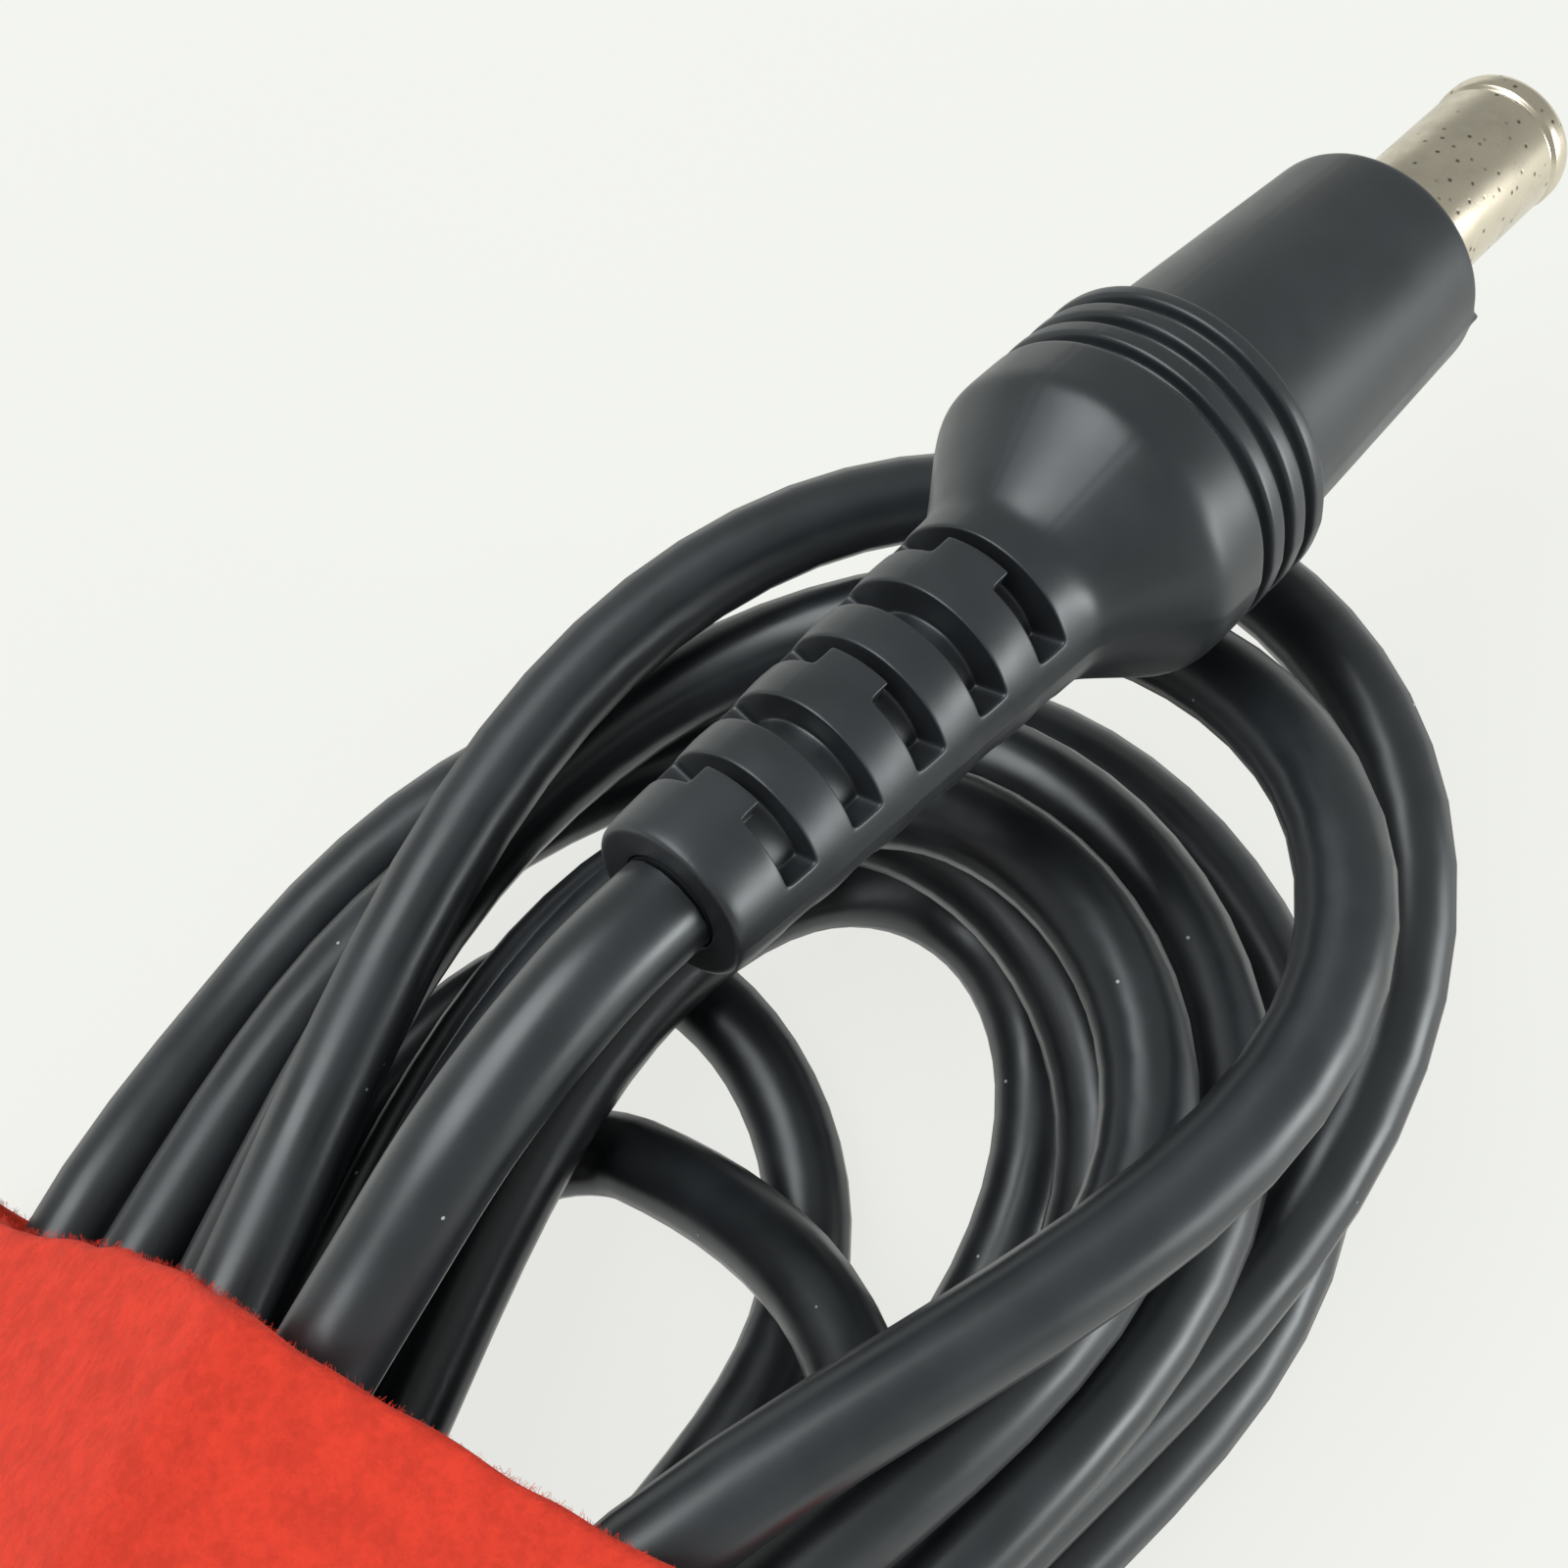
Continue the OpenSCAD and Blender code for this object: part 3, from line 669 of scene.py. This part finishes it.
class LEAD_OT_cord(bpy.types.Operator):
    """Add the wound cord, from the strain relief to the far end"""

    bl_idname = "lead.cord"
    bl_label = "Add Cord"

    def execute(self, context):
        sizes = context.scene.lead_sizes
        route = lead_route()
        curve = bpy.data.curves.new("wound_cord", "CURVE")
        curve.dimensions = "3D"
        curve.bevel_depth = sizes.cord_diameter / 2
        curve.bevel_resolution = 5
        curve.use_fill_caps = True
        spline = curve.splines.new("POLY")
        spline.points.add(len(route) - 1)
        for point, p in zip(spline.points, route):
            point.co = (*p, 1)
        spline.use_smooth = True
        curve.materials.append(bpy.data.materials["cord_jacket"])
        cord = bpy.data.objects.new("wound_cord", curve)
        context.scene.collection.objects.link(cord)
        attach(cord, "lead")
        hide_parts("lead_tail", "lead_hank")
        return {"FINISHED"}


# ------------------------------------------------------------------ the plug


class LEAD_OT_moulding(bpy.types.Operator):
    """Add the plug's soft moulding with its grip grooves and slotted strain relief"""

    bl_idname = "lead.moulding"
    bl_label = "Add Plug Moulding"

    def relief_radius(self, t):
        return RELIEF_R + (NECK_R - RELIEF_R) * (t - RELIEF_T) / (NECK_T - RELIEF_T)

    def relief_rows(self):
        """Rows along the strain relief: a close pair at each edge of a slot."""
        rows = [(RELIEF_R - END_SOFT, RELIEF_T), (RELIEF_R, RELIEF_T + END_SOFT)]
        for k in reversed(range(SLOT_N)):
            t = slot_start(k)
            rows += [(self.relief_radius(t + d), t + d) for d in
                     (-SOFT, 0, SLOT_W - TONGUE_GAP - SOFT, SLOT_W - TONGUE_GAP, SLOT_W,
                      SLOT_W + SOFT)]
            middle = t + SLOT_W + (SLOT_PITCH - SLOT_W) / 2
            if k:
                rows.append((self.relief_radius(middle) + RING_SWELL, middle))
        return rows

    def body_rows(self):
        """Rows along the cone, the grip band and the nose."""
        rows = [(NECK_R - 0.03, NECK_T - 0.75), (NECK_R + 0.02, NECK_T - 0.2),
                (NECK_R + 0.24, NECK_T + 0.28), (4.3, -7.65), (4.95, -6.69), (5.4, -6.03),
                (5.66, -5.65), (BAND_R - 0.04, -5.06), (BAND_R, -4.5), (BAND_R, -3.9)]
        for t in GROOVES_T:
            rows += [(BAND_R - depth, t + along) for along, depth in GROOVE]
        rows += [(BAND_R, 0.78), (BAND_R - 0.08, 0.92), (NOSE_BACK_R + 0.12, 0.94),
                 (NOSE_BACK_R - 0.01, 1.12)]
        taper = (NOSE_R - NOSE_BACK_R) / (NOSE_T - NOSE_BACK_T)
        for t in (3.4, 6.2, 9.0, 11.4, NOSE_T - 0.55, NOSE_T - 0.24):
            rows.append((NOSE_BACK_R + taper * (t - NOSE_BACK_T), t))
        return rows + [RIM, (NOSE_R - 0.4, NOSE_T), (3.4, NOSE_T), (BARREL_R + 0.11, NOSE_T),
                       (BARREL_R + 0.05, NOSE_T - 0.12)]

    def bore_rows(self):
        """Rows down the cavity that holds the contacts, the inner mould and the cord."""
        steps = [(BARREL_ROOT_R + 0.03, COLLAR_T), (COLLAR_R + 0.02, WASHER_BACK_T),
                 (INNER_R, INNER_BACK_T), (HOLE_R, RELIEF_T + 0.12)]
        rows = [(steps[0][0], NOSE_T - 0.3)]
        for (r, t), (next_r, _) in zip(steps, steps[1:]):
            rows += [(r, t), (next_r, t)]
        return rows + [(HOLE_R, -15.0), steps[-1], (HOLE_R + 0.02, RELIEF_T),
                       (HOLE_R + 0.23, RELIEF_T), (RELIEF_R - 0.4, RELIEF_T)]

    def angles(self):
        """Angles from the mould's top, close together at slot ends and parting lines."""
        quarter = (0, 8, 16, TONGUE - 2, TONGUE, TONGUE + 3, 33, 44, 56, 66, SLOT_END - 1,
                   SLOT_END + 2, 80, 87.5, PARTING)
        half = quarter + tuple(180 - a for a in reversed(quarter[1:-1]))
        return [math.radians(a) for a in half] + [math.radians(180 + a) for a in half]

    def shell(self):
        """The uncut moulding: its outline turned about its axis by uneven steps."""
        bm = bmesh.new()
        angles = self.angles()
        rows = self.relief_rows() + self.body_rows() + self.bore_rows()
        verts = [bm.verts.new((r * MM, 0, t * MM)) for r, t in rows]
        edges = close_loop(bm, verts)
        turn = Matrix.Rotation(MOULD_TOP + angles[0], 4, "Z")
        bmesh.ops.transform(bm, matrix=turn, verts=verts)
        steps = [b - a for a, b in zip(angles, angles[1:] + [angles[0] + 2 * math.pi])]
        for step in steps:
            grown = bmesh.ops.extrude_edge_only(bm, edges=edges)["geom"]
            edges = far_edges(grown)
            bmesh.ops.rotate(bm, cent=(0, 0, 0), matrix=Matrix.Rotation(step, 3, "Z"),
                             verts=grown_verts(grown))
        finish_mesh(bm)
        return bm

    def from_top(self, point):
        """Angle in degrees between a point and the nearer of the mould's two crowns."""
        a = abs(math.degrees(math.atan2(point.y, point.x) - MOULD_TOP) % 180)
        return min(a, 180 - a)

    def in_slot(self, face):
        """True for an outer face that a flex slot takes away."""
        middle = face.calc_center_median()
        t, a = middle.z / MM, self.from_top(middle)
        if middle.xy.length < CUT_R * MM or a > SLOT_END:
            return False
        for k in range(SLOT_N):
            d = t - slot_start(k)
            if 0 < d < SLOT_W:
                return k % 2 == 1 or d > SLOT_W - TONGUE_GAP or a > TONGUE
        return False

    def cut_slots(self, bm):
        """Sinks the slots' faces in three steps, so that rim and floor stay crisp."""
        faces = [f for f in bm.faces if self.in_slot(f)]
        for depth, floor in ((SLOT_RIM, 0), (0, SLOT_FLOOR_R + FLOOR_SOFT), (0, SLOT_FLOOR_R)):
            grown = bmesh.ops.extrude_face_region(bm, geom=faces)["geom"]
            bmesh.ops.delete(bm, geom=faces, context="FACES")
            faces = [g for g in grown if isinstance(g, bmesh.types.BMFace)]
            for v in grown_verts(grown):
                r = math.hypot(v.co.x, v.co.y)
                v.co.xy *= (floor * MM or r - depth * MM) / r

    def fill_out(self, bm):
        """Moves the points outwards so that smoothing leaves them at their radius."""
        angles = self.angles()
        gaps = [b - a for a, b in zip(angles, angles[1:] + [angles[0] + 2 * math.pi])]
        grow = {round(math.degrees(a), 1): 6 / (4 + math.cos(gaps[i]) + math.cos(gaps[i - 1]))
                for i, a in enumerate(angles)}
        for v in bm.verts:
            a = round(math.degrees(math.atan2(v.co.y, v.co.x) - MOULD_TOP) % 360, 1)
            v.co.xy *= grow[a % 360]
            if abs(self.from_top(v.co) - PARTING) < 0.1 and v.co.xy.length > OUTSIDE_R * MM:
                v.co.xy *= 1 + PARTING_H * MM / v.co.xy.length

    def pull_flash(self, bm):
        """Pulls one rim point on the parting line outwards, as a spur of flash."""
        turn = Matrix.Rotation(MOULD_TOP + math.radians(PARTING), 4, "Z")
        at = turn @ Vector((RIM[0], 0, RIM[1])) * MM
        spur = min(bm.verts, key=lambda v: (v.co - at).length)
        spur.co += turn @ Vector(FLASH) * MM

    def execute(self, context):
        bm = self.shell()
        self.fill_out(bm)
        self.cut_slots(bm)
        self.pull_flash(bm)
        bmesh.ops.recalc_face_normals(bm, faces=bm.faces)
        bmesh.ops.transform(bm, matrix=PLUG_PLACE, verts=bm.verts)
        body = make_object("plug_body", bm, bpy.data.materials["plug_moulding"])
        soft = body.modifiers.new("soft_edges", "SUBSURF")
        soft.levels = soft.render_levels = 2
        apply_modifiers(body)
        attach(body, "lead")
        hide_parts("plug_overmould")
        return {"FINISHED"}


# Station of the bead's root, and depth of the groove behind it
BEAD_T, BEAD_GROOVE = MOUTH_T - 1.0, 0.13

# Softening of the barrel's corners, and its steps round
BARREL_SOFT, BARREL_STEPS = 0.08, 160

# Finishes of pieces that keep the frame's own shapes; the inner mould keeps its finish too
FINISHES = {
    "tip_insulator": "dark_insulation", "centre_contact": "nickel_plate",
    "insulating_washer": "board_washer", "centre_solder_joint": "tinned_wire",
    "sleeve_solder_joint": "tinned_wire", "lead_root": "cord_jacket",
    "positive_core": "red_insulation",
    "positive_conductor": "copper_wire", "negative_core": "black_insulation",
    "negative_conductor": "copper_wire", "positive_core_end": "red_insulation",
    "positive_wire_end": "tinned_wire", "negative_core_end": "black_insulation",
    "negative_wire_end": "tinned_wire", "hook_patch": "hook_plastic",
}


class LEAD_OT_contacts(bpy.types.Operator):
    """Add the plated barrel and finish the pieces that keep the frame's own shapes"""

    bl_idname = "lead.contacts"
    bl_label = "Add Contacts"

    def barrel_rows(self):
        """Rows round the barrel's wall: the collar, the outside, the bead and the bore."""
        groove_r = BARREL_R - BEAD_GROOVE
        return [(BARREL_IN_R, COLLAR_BACK_T), (COLLAR_R, COLLAR_BACK_T), (COLLAR_R, COLLAR_T),
                (BARREL_ROOT_R, COLLAR_T), (BARREL_ROOT_R, NOSE_T - 0.28),
                (BARREL_R, NOSE_T - 0.24), (BARREL_R, BEAD_T - 0.27),
                (groove_r, BEAD_T - 0.19), (groove_r, BEAD_T - 0.07),
                (BEAD_R - 0.04, BEAD_T + 0.04), (BEAD_R, BEAD_T + 0.3), (BEAD_R, MOUTH_T - 0.3),
                (BEAD_R - 0.07, MOUTH_T - 0.06), (2.6, MOUTH_T),
                (BARREL_IN_R + 0.06, MOUTH_T - 0.08), (BARREL_IN_R, MOUTH_T - 0.35),
                (BARREL_IN_R, COLLAR_BACK_T + 0.1)]

    def execute(self, context):
        wall = softened(self.barrel_rows(), BARREL_SOFT)
        barrel = make_object("plated_barrel", spun(wall, BARREL_STEPS, PLUG_PLACE),
                             bpy.data.materials["nickel_plate"])
        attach(barrel, "lead")
        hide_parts("barrel_sleeve")
        for node, material in FINISHES.items():
            NODES[node].data.materials.clear()
            NODES[node].data.materials.append(bpy.data.materials[material])
        return {"FINISHED"}


# ------------------------------------------------------------------ the wrap

# The band runs round pegs, the strands at its corners, given by y and z in millimetres.
WRAP_H = 1.6
WRAP_IN_R = 1.85
WRAP_PEGS = [(17.6, 3.45), (17.8, 4.6), (0.9, 23.3), (-11.1, 20.3), (-17.6, 13.3),
             (-19.9, 4.8), (-19.7, 3.45)]
PEG_STEPS = 12

# The band's faces lie SKIN inside its thickness, to leave room for lumps; then its mesh's steps
SKIN, STEP_ROUND, STEP_ACROSS = 0.08, 0.45, 0.4

# Rounding of the band's edges, and size and number per metre of its lumps and edge ripples
EDGE_ROUND, LUMP, LUMPS_PER_M, RIPPLE, RIPPLES_PER_M = 0.55, 0.07, 170, 0.22, 420
BAND_SEED = 3.0

# The tab hangs over the flank that starts at a peg, a gap and its hooks away from the band.
TAB_PEG = 4
TAB_GAP, HOOK_H, TAB_LEN, TAB_LIP = 0.15, 0.8, 9.0, 1.2
TAB_TOP = TAB_GAP + HOOK_H
TAB_OUTER = TAB_TOP + WRAP_H
ROOT_SLACK, ROOT_STEPS, TAB_ROUND = 0.02, 8, 0.3

# The tab has one fibre for so many on the band.
TAB_SHARE = 6


def belt(radius):
    """Outline of a belt round the pegs, in the YZ plane."""
    n = len(WRAP_PEGS)
    points = []
    angles = [math.atan2(-(WRAP_PEGS[(i + 1) % n][0] - WRAP_PEGS[i][0]),
                         WRAP_PEGS[(i + 1) % n][1] - WRAP_PEGS[i][1]) for i in range(n)]
    for i, (y, z) in enumerate(WRAP_PEGS):
        a0 = angles[i - 1]
        turn = (angles[i] - a0) % (2 * math.pi)
        for k in range(PEG_STEPS + 1):
            a = a0 + turn * k / PEG_STEPS
            points.append((y + radius * math.cos(a), z + radius * math.sin(a)))
    return points


def spread_evenly(points, step):
    """Points along a closed outline at an even step."""
    closed = [Vector(p) for p in points] + [Vector(points[0])]
    lengths = [(b - a).length for a, b in zip(closed, closed[1:])]
    count = int(sum(lengths) / step)
    out, walked, i = [], 0.0, 0
    for k in range(count):
        target = sum(lengths) * k / count
        while walked + lengths[i] < target:
            walked += lengths[i]
            i += 1
        f = (target - walked) / lengths[i] if lengths[i] else 0
        out.append(closed[i].lerp(closed[i + 1], f))
    return out


# A fibre about one unit long: its width, and its three bends sideways and up
FIBRE_W = 0.056
FIBRE_BENDS = ((0.12, 0.42), (0.22, 0.34), (0.3, 0.12))


def fibre_mesh():
    """One curled fibre, standing on the origin."""
    bm = bmesh.new()
    foot = [bm.verts.new((side * FIBRE_W / 2, 0, 0)) for side in (-1, 1)]
    edges = [bm.edges.new(foot)]
    for lean, rise in FIBRE_BENDS:
        grown = bmesh.ops.extrude_edge_only(bm, edges=edges)["geom"]
        edges = far_edges(grown)
        bmesh.ops.translate(bm, vec=(0, lean, rise), verts=grown_verts(grown))
    mesh = bpy.data.meshes.new("fibre")
    bm.to_mesh(mesh)
    bm.free()
    return mesh


def add_pile(name, places, length, material, seed):
    """Loose fibres at (point, normal) places, as one mesh."""
    dice = random.Random(seed)
    fibre = fibre_mesh()
    rest = [v.co.copy() for v in fibre.vertices]
    bm = bmesh.new()
    for at, out in places:
        lean = (out + 0.75 * Vector((dice.uniform(-1, 1), dice.uniform(-1, 1),
                                     dice.uniform(-1, 1)))).normalized()
        turn = lean.to_track_quat("Z", "Y").to_matrix().to_4x4()
        place = (Matrix.Translation(at) @ turn @ Matrix.Rotation(dice.uniform(0, 6.28), 4, "Z")
                 @ Matrix.Scale(length * dice.uniform(0.6, 1.4), 4))
        for v, co in zip(fibre.vertices, rest):
            v.co = place @ co
        bm.from_mesh(fibre)
    bpy.data.meshes.remove(fibre)
    return make_object(name, bm, material)


# How far the band's edges fall short of its width: the front one by y, the back one evenly
EDGE_DIPS = ((-24, 0.3), (-17, 0.6), (-11, 0.8), (0.5, 0.75), (3.4, 0.35), (5.5, 0.15),
             (9.5, 0.3), (14.5, 1.0), (19, 0.5), (24, 0.2))
BACK_DIP = 0.25
DIP_FROM_Z, DIP_RISE = 3, 6


def edge_dip(y, z):
    """Inset of the band's front edge in millimetres, at a point across it."""
    for (y0, d0), (y1, d1) in zip(EDGE_DIPS, EDGE_DIPS[1:]):
        if y <= y1:
            dip = d0 + (d1 - d0) * max(y - y0, 0) / (y1 - y0)
            return dip * min(max((z - DIP_FROM_Z) / DIP_RISE, 0), 1)
    return 0.0


def band_mesh(outer, inner, half_w):
    """A band from two outlines in YZ, with rounded, slightly uneven edges and faces."""
    bm = bmesh.new()
    loops = []
    for outline in (outer, inner):
        verts = [bm.verts.new((-half_w * MM, p[0] * MM, p[1] * MM)) for p in outline]
        loops += close_loop(bm, verts)
    side = bmesh.ops.bridge_loops(bm, edges=loops)["faces"]
    grown = bmesh.ops.extrude_face_region(bm, geom=side)["geom"]
    bmesh.ops.translate(bm, vec=(2 * half_w * MM, 0, 0), verts=grown_verts(grown))
    bmesh.ops.recalc_face_normals(bm, faces=bm.faces)
    rims = [e for e in bm.edges if len(e.link_faces) == 2 and e.calc_face_angle(0) > 1.2
            and abs(e.verts[0].co.x - e.verts[1].co.x) < 1e-7]
    bmesh.ops.bevel(bm, geom=rims, offset=EDGE_ROUND * MM, segments=4, profile=0.5,
                    affect="EDGES", material=-1)
    long = [e for e in bm.edges if abs(e.verts[0].co.x - e.verts[1].co.x) > half_w * MM]
    bmesh.ops.subdivide_edges(bm, edges=long, cuts=int(2 * half_w / STEP_ACROSS),
                              use_grid_fill=True)
    for v in bm.verts:
        dip = edge_dip(v.co.y / MM, v.co.z / MM) if v.co.x > 0 else BACK_DIP
        ripple = RIPPLE * noise.noise(Vector((BAND_SEED, v.co.y, v.co.z)) * RIPPLES_PER_M)
        v.co.x *= 1 - (dip + ripple) / half_w
    bm.normal_update()
    for v in bm.verts:
        p = v.co * LUMPS_PER_M
        fine = noise.noise(p * 3.1 + Vector((BAND_SEED, 0, 0)))
        v.co += v.normal * LUMP * MM * (noise.noise(p) + 0.5 * fine)
    return bm


class LEAD_OT_wrap(bpy.types.Operator):
    """Add the loop fabric band round the hank's waist"""

    bl_idname = "lead.wrap"
    bl_label = "Add Wrap"

    def execute(self, context):
        sizes = context.scene.lead_sizes
        fabric = bpy.data.materials["red_loop_pile"]
        outer = spread_evenly(belt(WRAP_IN_R + WRAP_H - SKIN), STEP_ROUND)
        inner = spread_evenly(belt(WRAP_IN_R + SKIN), STEP_ROUND)
        band = make_object("wrap_fabric", band_mesh(outer, inner, sizes.wrap_width / MM / 2),
                           fabric)
        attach(band, "lead")
        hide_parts("wrap_band")
        places = belt_places(sizes, outer, random.Random(11))
        pile = add_pile("wrap_pile", places, sizes.pile_length, fabric, seed=5)
        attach(pile, "lead")
        return {"FINISHED"}


# One fibre in so many stands on the face and the others along the edges, down to a depth. Their
# feet are sunk below the surface, and none grows down towards the table from below a height.
FACE_EVERY, EDGE_DEPTH, EDGE_INSET, FACE_SINK, EDGE_SINK, BARE_Z = 6, 1.3, 0.06, 0.1, 0.05, 1.0


def belt_places(sizes, outline, dice):
    """Random places for fibres on the band's outer face and along its two edges."""
    half = sizes.wrap_width / 2
    places = []
    n = len(outline)
    for k in range(sizes.pile_count):
        i = dice.randrange(n)
        a, b = outline[i], outline[(i + 1) % n]
        along = (b - a).normalized()
        out = Vector((0, along[1], -along[0]))
        p = a.lerp(b, dice.random())
        at = Vector((0, p[0] * MM, p[1] * MM))
        front_dip = edge_dip(p[0], p[1])
        if k % FACE_EVERY == 0:
            at.x = dice.uniform(BACK_DIP * MM - half, half - front_dip * MM)
            normal = out
            sink = FACE_SINK
        else:
            side = dice.choice((-1, 1))
            depth = dice.uniform(0, EDGE_DEPTH)
            dip = front_dip if side > 0 else BACK_DIP
            at.x = side * (half - (dip + EDGE_INSET) * MM)
            at -= out * depth * MM
            normal = Vector((side, 0, 0)) + out * (0.5 - depth / 2)
            sink = EDGE_SINK
        if at.z < BARE_Z * MM and normal.z < 0:
            continue
        places.append((at - out * sink * MM, normal.normalized()))
    return places


class LEAD_OT_tab(bpy.types.Operator):
    """Add the wrap's free tab with its hooks"""

    bl_idname = "lead.tab"
    bl_label = "Add Tab"

    def flank(self, u, v):
        """Point in YZ at u down the flank and v out from the band's face."""
        a, b = Vector(WRAP_PEGS[TAB_PEG]), Vector(WRAP_PEGS[TAB_PEG + 1])
        along = (b - a).normalized()
        out = Vector((along[1], -along[0]))
        return a + along * u + out * (WRAP_IN_R + WRAP_H + v)

    def outline(self):
        """The tab's section, as (u, v): a hook ledge, the free end and a round root."""
        middle, r = (TAB_GAP + TAB_OUTER) / 2, (TAB_OUTER - TAB_GAP) / 2 - ROOT_SLACK
        root = [(-r * math.cos(a), middle + r * math.sin(a))
                for a in (math.pi * (k / ROOT_STEPS - 0.5) for k in range(ROOT_STEPS, -1, -1))]
        return [(TAB_LIP, TAB_GAP), (TAB_LIP, TAB_TOP), (TAB_LEN, TAB_TOP),
                (TAB_LEN, TAB_OUTER)] + root

    def pile_places(self, sizes, dice):
        """Random places for fibres on the tab's outer face."""
        out = (self.flank(0, 1) - self.flank(0, 0)).normalized()
        places = []
        for _ in range(sizes.pile_count // TAB_SHARE):
            p = self.flank(dice.uniform(0, TAB_LEN), TAB_OUTER - FACE_SINK)
            x = dice.uniform(-0.5, 0.5) * sizes.wrap_width
            places.append((Vector((x, p[0] * MM, p[1] * MM)), Vector((0, *out))))
        return places

    def execute(self, context):
        sizes = context.scene.lead_sizes
        points = [self.flank(u, v) for u, v in self.outline()]
        bm = bmesh.new()
        verts = [bm.verts.new((-sizes.wrap_width / 2, p[0] * MM, p[1] * MM)) for p in points]
        grown = bmesh.ops.extrude_face_region(bm, geom=[bm.faces.new(verts)])["geom"]
        bmesh.ops.translate(bm, vec=(sizes.wrap_width, 0, 0), verts=grown_verts(grown))
        bmesh.ops.recalc_face_normals(bm, faces=bm.faces)
        sharp = [e for e in bm.edges if e.calc_face_angle(0) > 1.0]
        bmesh.ops.bevel(bm, geom=sharp, offset=TAB_ROUND * MM, segments=3, profile=0.5,
                        affect="EDGES", material=-1)
        fabric = bpy.data.materials["red_loop_pile"]
        tab = make_object("tab_fabric", bm, fabric)
        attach(tab, "strap_tab")
        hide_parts("wrap_tab")
        places = self.pile_places(sizes, random.Random(17))
        pile = add_pile("tab_pile", places, sizes.pile_length, fabric, seed=9)
        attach(pile, "strap_tab")
        return {"FINISHED"}


class LEAD_PT_panel(bpy.types.Panel):
    """Settings and buttons for the lead"""

    bl_idname = "LEAD_PT_panel"
    bl_label = "Wound Lead"
    bl_space_type = "VIEW_3D"
    bl_region_type = "UI"
    bl_category = "Lead"

    def draw(self, context):
        for settings in (context.scene.lead_sizes, context.scene.lead_colours):
            box = self.layout.box()
            for name in settings.__annotations__:
                box.prop(settings, name)
        for step in STEPS:
            self.layout.operator(f"lead.{step}")


STEPS = ("stage", "cord", "moulding", "contacts", "wrap", "tab")
CLASSES = (LeadSizes, LeadColours, LEAD_OT_stage, LEAD_OT_cord, LEAD_OT_moulding,
           LEAD_OT_contacts, LEAD_OT_wrap, LEAD_OT_tab, LEAD_PT_panel)


def register():
    for c in CLASSES:
        bpy.utils.register_class(c)
    bpy.types.Scene.lead_sizes = PointerProperty(type=LeadSizes)
    bpy.types.Scene.lead_colours = PointerProperty(type=LeadColours)


def unregister():
    del bpy.types.Scene.lead_sizes
    del bpy.types.Scene.lead_colours
    for c in reversed(CLASSES):
        bpy.utils.unregister_class(c)


def main():
    register()
    build_materials(bpy.context.scene.lead_colours)
    for step in STEPS:
        getattr(bpy.ops.lead, step)()


if __name__ == "__main__":
    main()
